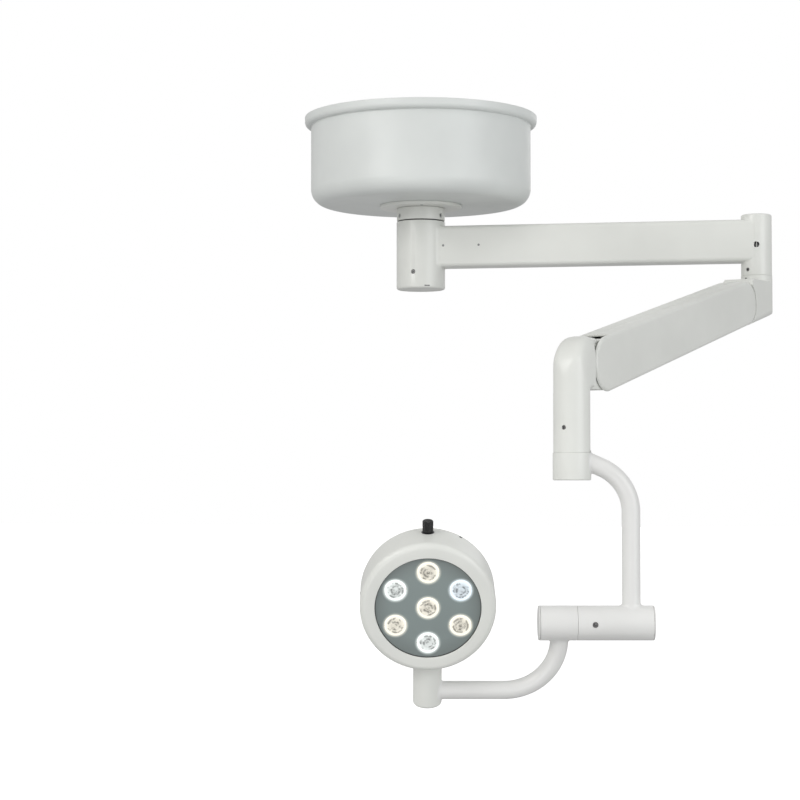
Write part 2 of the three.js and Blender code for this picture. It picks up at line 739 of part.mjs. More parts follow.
function yokeBody() {
  const [s, z] = YOKE_PIVOT;
  const bendZ = YOKE_TOP - SHOULDER_DROP;
  const bendS = YOKE_AXIS_S + YOKE_RADIUS - SHOULDER_REACH;
  const barrel = acrossAt(barZ(YOKE_RADIUS, YOKE_BOTTOM, bendZ + 1, 24), YOKE_AXIS_S, 0);
  const shoulder = common(
    softBall(SHOULDER_REACH, YOKE_RADIUS, SHOULDER_DROP).translate(bendS, 0, bendZ),
    box(s + YOKE_END_RADIUS + 1.5, YOKE_AXIS_S + 60, -60, 60, bendZ - 14, YOKE_TOP + 10),
    join(
      acrossAt(barZ(YOKE_RADIUS, bendZ - 30, YOKE_TOP + 10, 24), YOKE_AXIS_S, 0),
      box(s, YOKE_AXIS_S, -YOKE_RADIUS, YOKE_RADIUS, bendZ - 30, YOKE_TOP + 10),
    ),
  );
  const neckShape = new THREE.Shape(
    softOval(NECK_HALF, SHOULDER_DROP - 0.6, 28).map(([across, up]) => new THREE.Vector2(across, up)),
  );
  const neckLength = bendS + 5 - (s + NECK_START);
  const wideNeck = cut(
    new THREE.ExtrudeGeometry(neckShape, { depth: neckLength, bevelEnabled: false })
      .rotateX(Math.PI / 2)
      .rotateZ(Math.PI / 2)
      .translate(s + NECK_START, 0, bendZ),
    box(s, YOKE_AXIS_S, -60, 60, NECK_BOTTOM - 60, NECK_BOTTOM),
    acrossAt(barY(RELIEF_RADIUS, -60, 60, 24), s, z),
  );
  const [lipFrom, lipTo] = LIP_ANGLES;
  const lip = slab([
    ...arc(s, z, LIP_RADIUS, lipFrom, lipTo, 6),
    ...arc(s, z, RELIEF_RADIUS, lipTo, lipFrom, 6),
  ], LIP_HALF);
  const core = box(s, YOKE_AXIS_S - 6, -TONGUE_HALF, TONGUE_HALF, z - KNUCKLE_CORE, z + KNUCKLE_CORE);
  const slot = box(s - 60, s + 13, -TONGUE_SLOT, TONGUE_SLOT, z - 60, z + 60);
  const holding = cut(join(core, tongue(s, z)), slot, ...pinHoles(s, z));
  const bore = acrossAt(barZ(SWIVEL_SHAFT + SLIDE, YOKE_BOTTOM - 10, YOKE_BORE_TOP, 24), YOKE_AXIS_S, 0);
  const screwHole = acrossAt(barX(YOKE_SCREW_RADIUS + GAP, 0, 60, 12), YOKE_AXIS_S, YOKE_BRAKE_HEIGHT);
  return cut(join(barrel, shoulder, wideNeck, lip, holding), bore, screwHole);
}

// ---------------------------------------------------------------- swivel collar and tubes

function swivelCollar() {
  const top = YOKE_BOTTOM - 0.5;
  const [lower, upper] = SWIVEL_BEVELS;
  return turned([
    [0, SWIVEL_BOTTOM],
    [SWIVEL_RADIUS - lower, SWIVEL_BOTTOM],
    [SWIVEL_RADIUS, SWIVEL_BOTTOM + lower],
    [SWIVEL_RADIUS, top - upper],
    [SWIVEL_RADIUS - upper, top],
    [SWIVEL_SHAFT, top],
    [SWIVEL_SHAFT, SWIVEL_SHAFT_TOP],
    [0, SWIVEL_SHAFT_TOP],
  ]);
}

const hollow = (path, sides, steps) => cut(
  alongPath(path, TUBE_RADIUS, sides, steps),
  alongPath(path, TUBE_RADIUS - TUBE_WALL, sides - 4, steps),
);

function upperTube() {
  const slope = rad(UPPER_SLOPE);
  const bend = new Arc3(UPPER_LEG_X - UPPER_BEND, UPPER_BEND_Z, UPPER_BEND, 90 - UPPER_SLOPE, 0);
  const first = bend.getPoint(0);
  const reach = 30;
  const start = new THREE.Vector3(first.x - reach * Math.cos(slope), 0, first.z + reach * Math.sin(slope));
  const end = new THREE.Vector3(UPPER_LEG_X, 0, CROSS_Z + 10);
  return cut(
    hollow(tubePath(start, bend, end), 12, 14),
    barZ(SWIVEL_RADIUS + GAP, SWIVEL_BOTTOM - 10, YOKE_BOTTOM + 10, 24),
    barX(CROSS_RADIUS + GAP, 0, 200, 24).translate(0, 0, CROSS_Z),
  );
}

function fixedSleeve() {
  const right = CROSS_RIGHT - CROSS_CAP - 0.1;
  const hole = barX(SCREW_HOLE, 5, 60, 12).rotateY(rad(CROSS_BRAKE_DROP)).rotateZ(-Math.PI / 2);
  return cut(
    barX(CROSS_RADIUS, CROSS_SEAM + GAP, right, 24),
    barX(CROSS_SHAFT + 0.6, 0, right - 6, 24),
    hole.translate(CROSS_BRAKE_X, 0, 0),
  ).translate(0, 0, CROSS_Z);
}

function sleeveScrew() {
  return setScrew(SCREW_RADIUS, CROSS_SHAFT + 0.8, CROSS_RADIUS - SCREW_SINK)
    .rotateY(rad(CROSS_BRAKE_DROP))
    .rotateZ(-Math.PI / 2)
    .translate(CROSS_BRAKE_X, 0, CROSS_Z);
}

function upperTubeAssembly() {
  const upper = new THREE.Group();
  put(upper, 'swivel_collar', swivelCollar(), whitePaint);
  put(upper, 'upper_bent_tube', upperTube(), whitePaint);
  put(upper, 'fixed_sleeve', fixedSleeve(), whitePaint);
  const cap = barX(CROSS_RADIUS, CROSS_RIGHT - CROSS_CAP + 0.2, CROSS_RIGHT, 24).translate(0, 0, CROSS_Z);
  put(upper, 'fixed_sleeve_cap', cap, whitePaint);
  put(upper, 'sleeve_brake_screw', sleeveScrew(), darkSteel);
  return upper;
}

function lowerTube() {
  const bend = new Arc3(LOWER_LEG_X - LOWER_BEND, LOWER_BEND - LOWER_DROP, LOWER_BEND, 0, -90);
  const start = new THREE.Vector3(LOWER_LEG_X, 0, -8);
  const end = new THREE.Vector3(SOCKET_X + 6, 0, -LOWER_DROP);
  return cut(
    hollow(tubePath(start, bend, end), 12, 14),
    barX(CROSS_RADIUS + GAP, -100, 60, 24),
    barZ(SOCKET_RADIUS + GAP, -180, 0, 24).translate(SOCKET_X, 0, 0),
  );
}

function headSocket() {
  const top = SOCKET_TOP - GAP;
  return turned([
    [0, SOCKET_BOTTOM],
    ...arc(SOCKET_RADIUS - SOCKET_FILLET, SOCKET_BOTTOM + SOCKET_FILLET, SOCKET_FILLET, -90, 0, 3),
    [SOCKET_RADIUS, top],
    [STEM_RADIUS + SLIDE, top],
    [STEM_RADIUS + SLIDE, SOCKET_BOTTOM + SOCKET_FLOOR],
    [0, SOCKET_BOTTOM + SOCKET_FLOOR],
  ]).translate(SOCKET_X, 0, 0);
}

function lowerTubeAssembly() {
  const lower = new THREE.Group();
  const left = CROSS_LEFT + CROSS_CAP + 0.1;
  const sleeve = cut(barX(CROSS_RADIUS, left, CROSS_SEAM, 24), barX(CROSS_SHAFT + SLIDE, left + 5, 60, 24));
  put(lower, 'pivot_sleeve', sleeve, whitePaint);
  put(lower, 'pivot_sleeve_cap', barX(CROSS_RADIUS, CROSS_LEFT, left - GAP, 24), whitePaint);
  put(lower, 'pivot_shaft', barX(CROSS_SHAFT, left + 6, CROSS_SHAFT_END, 24), steel);
  put(lower, 'lower_bent_tube', lowerTube(), whitePaint);
  put(lower, 'head_socket', headSocket(), whitePaint);
  return lower;
}

// ---------------------------------------------------------------- head

// points [radius, depth behind the front face] turned about the head's axis
const dished = (points, sides) => turned(points, sides)
  .rotateX(-Math.PI / 2)
  .translate(0, HEAD_FRONT, 0);

function headStem() {
  const flange = barZ(SOCKET_RADIUS, SOCKET_TOP, SOCKET_TOP + 12, 24);
  const wall = barY(HEAD_RADIUS + GAP, -60, 60, 64).translate(0, 0, HEAD_RISE);
  const stem = barZ(STEM_RADIUS, SOCKET_BOTTOM + 12, SOCKET_TOP + 1, 24);
  return join(cut(flange, wall), stem).translate(0, 0, -HEAD_RISE);
}

function headHousing() {
  const flat = HEAD_RADIUS - HEAD_FILLET;
  const back = HEAD_DEPTH - SEAL_DEPTH;
  const shell = dished([
    [WINDOW_RADIUS, 0],
    ...arc(flat, HEAD_FILLET, HEAD_FILLET, -90, 0, 3),
    [HEAD_RADIUS, back],
    [HEAD_RADIUS - HEAD_WALL, back],
    ...arc(flat, HEAD_FILLET, HEAD_FILLET - HEAD_WALL, 0, -90, 1),
    [WINDOW_RADIUS, HEAD_WALL],
  ], 32);
  return cut(shell, barZ(SCREW_HOLE, 80, 120, 12).translate(0, HEAD_FRONT + KNOB_DEPTH, 0));
}

function rearCover() {
  const skirt = HEAD_RADIUS - HEAD_WALL - SLIDE;
  const face = HEAD_DEPTH - 2;
  return dished([
    [0, HEAD_DEPTH],
    [HEAD_RADIUS - 4, HEAD_DEPTH],
    [HEAD_RADIUS - 0.5, face],
    [skirt, face],
    [skirt, face - SKIRT_DEPTH],
    [skirt - SKIRT_WALL, face - SKIRT_DEPTH],
    [skirt - SKIRT_WALL, face - 1],
    [0, face - 1],
  ], 32);
}

const lensPlaces = [[0, 0]];
for (let i = 0; i < LENSES_AROUND; i += 1) {
  const angle = rad(90 - (360 * i) / LENSES_AROUND);
  lensPlaces.push([LENS_CIRCLE * Math.cos(angle), LENS_CIRCLE * Math.sin(angle)]);
}

function lensPanel() {
  const [front, back] = PANEL_DEPTHS;
  const disc = barY(PANEL_RADIUS, HEAD_FRONT + front, HEAD_FRONT + back, 32);
  const holes = lensPlaces.map(([x, z]) => barY(LENS_RADIUS + 0.5, -60, 60, 14).translate(x, 0, z));
  return cut(disc, ...holes);
}

const ledLens = () => dished([
  [0, 2.2],
  [14, 2.2],
  [LENS_RADIUS, 4],
  [LENS_RADIUS, 6.5],
  [9, 15],
  [0, 15],
], 12);

function heatSink() {
  const [front, base, back] = SINK_DEPTHS.map((depth) => HEAD_FRONT + depth);
  const reach = SINK_RADIUS;
  const fins = [];
  for (let i = -4; i <= 4; i += 1) {
    const x = i * FIN_SPACING;
    fins.push(box(x - FIN_HALF, x + FIN_HALF, base - 2, back, -reach, reach));
  }
  return common(join(box(-reach, reach, front, base, -reach, reach), ...fins), barY(reach, front, back, 24));
}

function potentiometer() {
  const wallInside = HEAD_RADIUS - HEAD_WALL;
  const body = barZ(KNOB_RADIUS - 0.2, wallInside - 11.5, wallInside - 1.5);
  const shaft = barZ(POTENTIOMETER_SHAFT, wallInside - 2, HEAD_RADIUS + 11, 12);
  return join(body, shaft).translate(0, HEAD_FRONT + KNOB_DEPTH, 0);
}

function dimmerKnob() {
  const outline = [];
  for (let i = 0; i < 2 * KNOB_RIBS; i += 1) {
    const angle = (Math.PI * i) / KNOB_RIBS;
    const radius = i % 2 ? KNOB_RADIUS : KNOB_RADIUS - KNOB_FLUTE;
    outline.push(new THREE.Vector2(radius * Math.cos(angle), radius * Math.sin(angle)));
  }
  const grip = new THREE.ExtrudeGeometry(new THREE.Shape(outline), {
    depth: KNOB_HEIGHT - 1,
    bevelEnabled: false,
  });
  const shoulder = KNOB_HEIGHT - 2;
  const crown = turned([[0, shoulder], [7, shoulder], [6.2, KNOB_HEIGHT], [0, KNOB_HEIGHT]], 16);
  return cut(join(grip, crown), barZ(KNOB_BORE, -5, 13, 12))
    .translate(0, HEAD_FRONT + KNOB_DEPTH, HEAD_RADIUS + 0.5);
}

function headAssembly() {
  const head = new THREE.Group();
  put(head, 'head_stem', headStem(), whitePaint);
  put(head, 'head_housing', headHousing(), whitePaint);
  put(head, 'rear_cover', rearCover(), whitePaint);
  put(head, 'lens_panel', lensPanel(), greyPanel);
  lensPlaces.forEach(([x, z], i) => {
    put(head, `led_lens_${i + 1}`, ledLens().translate(x, 0, z), clearLens);
  });
  const [boardFront, boardBack] = BOARD_DEPTHS.map((depth) => HEAD_FRONT + depth);
  put(head, 'led_board', barY(BOARD_RADIUS, boardFront, boardBack, 24), boardWhite);
  put(head, 'heat_sink', heatSink(), aluminium);
  put(head, 'dimmer_potentiometer', potentiometer(), darkSteel);
  put(head, 'dimmer_knob', dimmerKnob(), blackPlastic);
  return head;
}

// ---------------------------------------------------------------- the whole light

const light = new THREE.Group();
light.add(ceilingMount());
light.add(horizontalArm());

// upright frame along the spring arm, with its origin on the hub axis
const armLine = new THREE.Group();
armLine.position.set(HUB_X, 0, 0);
armLine.rotation.z = rad(ARM_YAW);
light.add(armLine);
put(armLine, 'root_knuckle', rootKnuckle(), whitePaint);
put(armLine, 'root_pin', pivotPin(...ROOT_PIVOT), steel);
put(armLine, 'root_tie_pin', tiePin(...ROOT_PIVOT, TIE_PIN_RADIUS), steel);
put(armLine, 'yoke', yokeBody(), whitePaint);
put(armLine, 'yoke_pin', pivotPin(...YOKE_PIVOT), steel);
put(armLine, 'yoke_tie_pin', tiePin(...YOKE_PIVOT, TIE_PIN_RADIUS - GAP), steel);
const yokeScrew = setScrew(YOKE_SCREW_RADIUS, SWIVEL_SHAFT + 0.6, YOKE_RADIUS - SCREW_SINK);
put(armLine, 'yoke_brake_screw', acrossAt(yokeScrew, YOKE_AXIS_S, YOKE_BRAKE_HEIGHT), darkSteel);

const springArm = new THREE.Group();
springArm.position.set(ROOT_PIVOT[0], 0, ROOT_PIVOT[1]);
springArm.rotation.y = pitch;
armLine.add(springArm);
put(springArm, 'cover_near', springCover(1), whitePaint);
put(springArm, 'cover_far', springCover(-1), whitePaint);
put(springArm, 'arm_channel', armChannel(), whitePaint);
put(springArm, 'coil_spring', alongPath(new Helix(), SPRING_WIRE, 5, 8 * SPRING_TURNS), darkSteel);
put(springArm, 'spring_rod', springRod(), steel);
put(springArm, 'spring_seat', springSeat(), steel);

const tie = new THREE.Group();
tie.position.set(ROOT_PIVOT[0], 0, ROOT_PIVOT[1] + TIE_OFFSET);
tie.rotation.y = pitch;
armLine.add(tie);
put(tie, 'tie_rod', tieRod(), steel);

// frame on the yoke axis for the tubes, then the frame that tilts on the cross pivot, then the head
const yaw = rad(ARM_YAW);
const tubes = new THREE.Group();
tubes.position.set(HUB_X + YOKE_AXIS_S * Math.cos(yaw), YOKE_AXIS_S * Math.sin(yaw), 0);
tubes.rotation.z = rad(TUBE_YAW);
light.add(tubes);
tubes.add(upperTubeAssembly());

const tilting = lowerTubeAssembly();
tilting.position.z = CROSS_Z;
tilting.rotation.x = rad(LOWER_TILT);
tubes.add(tilting);

const head = headAssembly();
head.position.set(SOCKET_X, 0, HEAD_RISE);
tilting.add(head);

export default light;
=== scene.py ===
"""Looks of a ceiling-mounted surgical light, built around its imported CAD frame.

Shapes are worked out in millimetres, each in the frame of its own sub-assembly. A place is the matrix
that takes such local millimetres to the row frame in metres.
"""

import json
import math

import bmesh
import bpy
from mathutils import Matrix, Vector


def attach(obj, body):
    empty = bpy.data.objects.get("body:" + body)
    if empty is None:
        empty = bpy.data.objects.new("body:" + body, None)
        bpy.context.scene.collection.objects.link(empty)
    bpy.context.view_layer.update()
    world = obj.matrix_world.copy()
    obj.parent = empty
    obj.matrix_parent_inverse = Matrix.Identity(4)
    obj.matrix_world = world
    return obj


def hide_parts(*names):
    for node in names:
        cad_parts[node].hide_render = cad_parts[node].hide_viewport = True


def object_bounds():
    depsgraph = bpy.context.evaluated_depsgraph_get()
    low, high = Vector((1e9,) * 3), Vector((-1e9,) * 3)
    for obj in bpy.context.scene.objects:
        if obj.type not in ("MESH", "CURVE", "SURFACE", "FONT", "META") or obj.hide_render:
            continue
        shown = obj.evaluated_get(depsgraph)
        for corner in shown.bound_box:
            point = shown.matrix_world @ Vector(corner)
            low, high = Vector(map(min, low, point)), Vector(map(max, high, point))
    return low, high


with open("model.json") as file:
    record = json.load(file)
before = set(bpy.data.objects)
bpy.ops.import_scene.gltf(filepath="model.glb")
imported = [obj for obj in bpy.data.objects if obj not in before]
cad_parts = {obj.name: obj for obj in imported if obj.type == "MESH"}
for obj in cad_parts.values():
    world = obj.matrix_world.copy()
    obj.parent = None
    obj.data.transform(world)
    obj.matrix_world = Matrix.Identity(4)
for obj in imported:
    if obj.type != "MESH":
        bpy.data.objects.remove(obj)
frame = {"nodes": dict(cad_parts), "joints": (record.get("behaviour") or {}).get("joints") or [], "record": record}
cad_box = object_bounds()
joints = {joint["name"]: joint for joint in frame["joints"]}

X, Y, Z = Vector((1, 0, 0)), Vector((0, 1, 0)), Vector((0, 0, 1))
MM = 0.001

# ---- dimensions in millimetres, angles in degrees

PAINT_GAP = 0.3  # between two painted pieces that meet
SCREW_HOLE = 4.3
CREASE = 32  # edges with more than this stay sharp
CANOPY_RADIUS, CANOPY_HEIGHT, CANOPY_FILLET, CANOPY_WALL, CANOPY_HOLE = 204, 164, 29, 3, 39
RIM_RADIUS, RIM_HEIGHT, RIM_FILLET = 215.5, 18, 8
RING_RADIUS, RING_BORE, RING_BOTTOM = 76, 38.3, -170
RING_SCREW_CIRCLE, RING_SCREW_ANGLES = 60, (-79, 101)
COLLAR_RADIUS, COLLAR_BORE, COLLAR_BOTTOM = 44.5, 30.4, -193.2
COLLAR_SCREW_Z, COLLAR_SCREW_ANGLES = -185, (-24.3, 95.7, 215.7)
WASHER_RADIUS, WASHER_BORE, WASHER_TOP, WASHER_BOTTOM = 42, 30.5, -193.4, -195
POST_RADIUS, POST_TOP, POST_BOTTOM = 45, -195.2, -321
POST_BORE, POST_LIP, POST_CAP_BORE, POST_LIP_TOP, POST_LIP_BOTTOM = 33, 31, 40, -282, -300
POST_SCREW_ANGLE, POST_SCREW_Z, POST_MARK_ANGLE, POST_MARK_Z = -99, -291, -65.7, -316.4
BEAM_HEIGHT, BEAM_WIDTH, BEAM_Z, BEAM_CORNER, BEAM_WALL = 76, 55, -243, 9, 4
BEAM_SCREWS, BEAM_SCREW_Z, POST_WELD, HUB_WELD = (46, 112), -242, 5, 6
HUB_RADIUS, HUB_BORE, HUB_CAP_BORE, HUB_CAP_DEPTH, HUB_TOP, HUB_BOTTOM = 27.5, 20, 22, 6, -195, -306
HUB_HOLE_RADIUS, HUB_HOLE_ANGLE, HUB_HOLE_Z = 5.4, -90, -251
HUB_STOP_RADIUS, HUB_STOP_ANGLE, HUB_STOP_Z = 3.5, -124.7, -295.7
KNUCKLE_TOP, KNUCKLE_HEEL, KNUCKLE_KEEL, KNUCKLE_LIP = -318, 34, 12, (92, -401.5)
KNUCKLE_SHOULDER, KNUCKLE_SHAFT, KNUCKLE_SHAFT_TOP, KNUCKLE_BUSH = (83, 90, 5), 15, -215, 15.6
KNUCKLE_STOP_ANGLE, KNUCKLE_STOP_Z = -20, -313
POCKET_RADIUS, POCKET_START, POCKET_END = 38.7, 222.3, 120.7
ARM_WIDTH, COVER_START, COVER_END, COVER_EDGE, COVER_WALL = 56, 38.2, 42.1, 6, 3
SLOT_GAP, YOKE_SLOT_TOP, YOKE_SLOT_BOTTOM, ROOT_SLOT_TOP, ROOT_SLOT_BOTTOM = 1.5, 20, 8, -8, 3
TONGUE_HALF, TONGUE_RADIUS, TONGUE_SLOT, TIE_RISE = 18, 33, 6.5, 22
FORK_HALF, FORK_REACH, PIVOT_HOLE, TIE_HOLE = 24, 13, 8.3, 4.3
YOKE_RADIUS, YOKE_TOP, YOKE_BOTTOM, YOKE_BORE, YOKE_BORE_TOP = 27.5, -457, -632, 15.4, -560
YOKE_SCREW_Z, YOKE_SCREW_HOLE = -595, 3.3
SHOULDER_REACH, SHOULDER_DROP, NECK_HALF, NECK_BOTTOM, NECK_START = 51, 62, 22, -537, 16
RELIEF_RADIUS, LIP_RADIUS, LIP_HALF, LIP_START, LIP_END = 36.5, 38.2, 18.5, 56, 100
SWIVEL_RADIUS, SWIVEL_BOTTOM, SWIVEL_SHAFT, SWIVEL_SHAFT_TOP = 28.5, -673, 15, -565
TUBE_RADIUS, UPPER_SLOPE, UPPER_BEND, UPPER_LEG_X, UPPER_BEND_Z = 13.75, 24, 72, 87.4, -720
CROSS_RADIUS, CROSS_LEFT, CROSS_RIGHT, CROSS_SEAM, CROSS_CAP = 26, -50.7, 121.3, 6.5, 2.4
CROSS_SCREW_X, CROSS_SCREW_DROP, FIXED_BORE, PIVOT_BORE = 31.9, 3, 12.6, 12.4
CROSS_WELD, END_WELD = 5.5, 3.5
LOWER_LEG_X, LOWER_BEND, LOWER_DROP = -19.2, 80, 108
SOCKET_RADIUS, SOCKET_TOP, SOCKET_BOTTOM = 21.5, -66, -130.3
SOCKET_BORE, SOCKET_FLOOR, STEM_RADIUS = 12.4, 8, 12
HEAD_RISE, HEAD_FRONT, HEAD_RADIUS, HEAD_DEPTH, HEAD_FILLET = 38, -38, 100, 72.5, 9
HEAD_WALL, WINDOW_RADIUS, PANEL_RADIUS, PANEL_DEPTH, PANEL_THICKNESS = 3, 78, 80, 3.3, 3
LENS_RADIUS, LENS_CIRCLE, LENS_BACK = 16, 55, 15
HOUSING_SCREWS, HOUSING_SCREW_ANGLE, HOUSING_SCREW_DEPTH = 3, 29, 64
KNOB_DEPTH, KNOB_RADIUS, KNOB_HEIGHT, KNOB_RIBS = 51, 8, 18, 20

# ---- places


def place(origin, along, up=Z):
    """The matrix from local millimetres, with X along a direction, to the row frame in metres."""
    x = Vector(along).normalized()
    z = (Vector(up) - x * Vector(up).dot(x)).normalized()
    facing = Matrix((x, z.cross(x), z)).transposed().to_4x4()
    return Matrix.Translation(origin) @ facing @ Matrix.Scale(MM, 4)


def shift(x=0.0, y=0.0, z=0.0):
    return Matrix.Translation((x, y, z))


def scaled(x, y, z):
    return Matrix.Diagonal((x, y, z, 1))


def turn(degrees, axis):
    return Matrix.Rotation(math.radians(degrees), 4, axis)


def joint_at(name):
    return Vector(joints[name]["pos_m"])


def level(point):
    return Vector((point.x, point.y, 0))


hub_point = level(joint_at("arm_swivel"))
yoke_point = level(joint_at("suspension_swivel"))
tilt_axis = Vector(joints["head_tilt"]["axis"])
MOUNT = place((0, 0, 0), X)
HUB = place(hub_point, X)
ARM = place(hub_point, yoke_point - hub_point)
COVER = place(joint_at("spring_arm_pitch"), joint_at("yoke_level") - joint_at("spring_arm_pitch"))
TUBES = place(yoke_point, tilt_axis)
TILT = place(joint_at("head_tilt"), tilt_axis, joints["head_swivel"]["axis"])
HUB_X = hub_point.length / MM
YOKE_S = (yoke_point - hub_point).length / MM
ROOT = ARM.inverted() @ joint_at("spring_arm_pitch")
YOKE_PIVOT = ARM.inverted() @ joint_at("yoke_level")
PIVOT_SPACING = (YOKE_PIVOT - ROOT).length
PITCH = math.atan2(ROOT.z - YOKE_PIVOT.z, YOKE_PIVOT.x - ROOT.x)
CROSS_Z = joint_at("head_tilt").z / MM
SOCKET_X = (TILT.inverted() @ joint_at("head_swivel")).x
HEAD = TILT @ shift(SOCKET_X, 0, HEAD_RISE)
TO_X = turn(90, "Y")  # takes local Z to X
TO_Y = turn(-90, "X")  # takes local Z to Y
DISH = HEAD @ shift(0, HEAD_FRONT, 0) @ TO_Y  # Z is the depth behind the front face


def radial(where, angle, z, reach=0.0):
    """Local Z points outwards along a radius of an upright post."""
    return where @ shift(0, 0, z) @ turn(angle, "Z") @ TO_X @ shift(0, 0, reach)


# ---- materials


class Shader:
    """A principled material with helpers for its node tree."""

    def __init__(self, name):
        self.material = bpy.data.materials.new(name)
        self.material.use_nodes = True
        self.tree = self.material.node_tree
        self.surface = self.tree.nodes["Principled BSDF"]
        self.where = self.tree.nodes.new("ShaderNodeTexCoord").outputs["Object"]

    def feed(self, socket, value):
        """Links a socket, or sets its constant; a colour of three numbers gets its alpha."""
        if isinstance(value, bpy.types.NodeSocket):
            self.tree.links.new(value, socket)
        elif socket.type == "RGBA" and len(value) == 3:
            socket.default_value = (*value, 1)
        else:
            socket.default_value = value

    def add(self, kind, links=(), **settings):
        node = self.tree.nodes.new(kind)
        for key, value in settings.items():
            setattr(node, key, value)
        for socket, value in links:
            self.feed(node.inputs[socket], value)
        return node

    def noise(self, scale, detail=2.0, stretch=(1, 1, 1)):
        mapping = self.add("ShaderNodeMapping", [("Vector", self.where), ("Scale", stretch)])
        node = self.add(
            "ShaderNodeTexNoise", [("Vector", mapping.outputs[0]), ("Scale", scale), ("Detail", detail)]
        )
        return node.outputs["Fac"]

    def remap(self, value, low, high, to_low, to_high, smooth=False):
        names = ("Value", "From Min", "From Max", "To Min", "To Max")
        ends = zip(names, (value, low, high, to_low, to_high))
        kind = "SMOOTHSTEP" if smooth else "LINEAR"
        return self.add("ShaderNodeMapRange", ends, interpolation_type=kind).outputs[0]

    def blend(self, factor, first, second, kind="MIX"):
        node = self.add("ShaderNodeMix", data_type="RGBA", blend_type=kind)
        for index, value in ((0, factor), (6, first), (7, second)):
            self.feed(node.inputs[index], value)
        return node.outputs[2]

    def math(self, operation, first, second=0.0):
        return self.add("ShaderNodeMath", [(0, first), (1, second)], operation=operation).outputs[0]

    def distance(self, point):
        node = self.add("ShaderNodeVectorMath", [(0, self.where), (1, tuple(point))], operation="DISTANCE")
        return node.outputs["Value"]

    def set(self, socket, value):
        self.feed(self.surface.inputs[socket], value)

    def bump(self, height, strength, depth):
        node = self.add("ShaderNodeBump", [("Height", height), ("Strength", strength), ("Distance", depth)])
        self.set("Normal", node.outputs["Normal"])


def varied(colour, by):
    """A colour made lighter or darker."""
    return tuple(channel * by for channel in colour)


def paint(name, colour, roughness, peel, coat=0.0):
    """Sprayed enamel: a faint drift of tone, an orange-peel skin and slightly uneven gloss."""
    shader = Shader(name)
    drift = shader.remap(shader.noise(7, 3), 0.35, 0.65, 0, 1)
    shader.set("Base Color", shader.blend(drift, varied(colour, 0.965), varied(colour, 1.03)))
    shader.set("Roughness", shader.remap(shader.noise(34, 3), 0.3, 0.7, roughness - 0.05, roughness + 0.06))
    skin = shader.math("ADD", shader.noise(95, 1), shader.math("MULTIPLY", shader.noise(260, 1), 0.3))
    shader.bump(skin, peel, 0.0006)
    shader.set("Coat Weight", coat)
    shader.set("Coat Roughness", 0.12)
    return shader.material


def metal(name, colour, roughness, grain=(1, 1, 14)):
    """Machined metal with a fine directional grain and a few darker stains."""
    shader = Shader(name)
    stains = shader.remap(shader.noise(60, 4), 0.4, 0.7, 0, 1)
    shader.set("Base Color", shader.blend(stains, colour, varied(colour, 0.72)))
    brushed = shader.noise(420, 3, grain)
    shader.set("Roughness", shader.remap(brushed, 0.3, 0.7, roughness - 0.09, roughness + 0.1))
    shader.set("Metallic", 1.0)
    shader.bump(brushed, 0.12, 0.0002)
    return shader.material


def plastic(name, colour, roughness, grain):
    """Moulded plastic with a spark-eroded grain."""
    shader = Shader(name)
    mottled = shader.remap(shader.noise(90, 3), 0.35, 0.65, 0, 1)
    shader.set("Base Color", shader.blend(mottled, varied(colour, 0.85), varied(colour, 1.15)))
    texture = shader.add("ShaderNodeTexVoronoi", [("Vector", shader.where), ("Scale", grain)])
    shader.set("Roughness", shader.remap(shader.noise(160, 2), 0.3, 0.7, roughness - 0.06, roughness + 0.08))
    shader.bump(texture.outputs["Distance"], 0.12, 0.0003)
    return shader.material


def circuit_board(name):
    """White solder mask with thin copper-coloured tracks."""
    shader = Shader(name)
    bricks = shader.add("ShaderNodeTexBrick", [
        ("Vector", shader.where),
        ("Scale", 60),
        ("Color1", (0.8, 0.82, 0.8)),
        ("Color2", (0.74, 0.77, 0.75)),
        ("Mortar", (0.5, 0.33, 0.16)),
    ])
    shader.set("Base Color", bricks.outputs["Color"])
    shader.set("Roughness", shader.remap(shader.noise(200), 0.3, 0.7, 0.35, 0.5))
    return shader.material


WARM, COOL, NEUTRAL = (1.0, 0.955, 0.83), (0.85, 0.94, 1.0), (0.95, 1.0, 0.98)
LED_TINTS = [WARM, WARM, COOL, WARM, NEUTRAL, WARM, NEUTRAL]
lens_places = [(0.0, 0.0)]
for step in range(6):
    clock = math.radians(90 - 60 * step)
    lens_places.append((LENS_CIRCLE * math.cos(clock), LENS_CIRCLE * math.sin(clock)))


def lens_point(index, depth):
    x, z = lens_places[index]
    return HEAD @ Vector((x, HEAD_FRONT + depth, z))


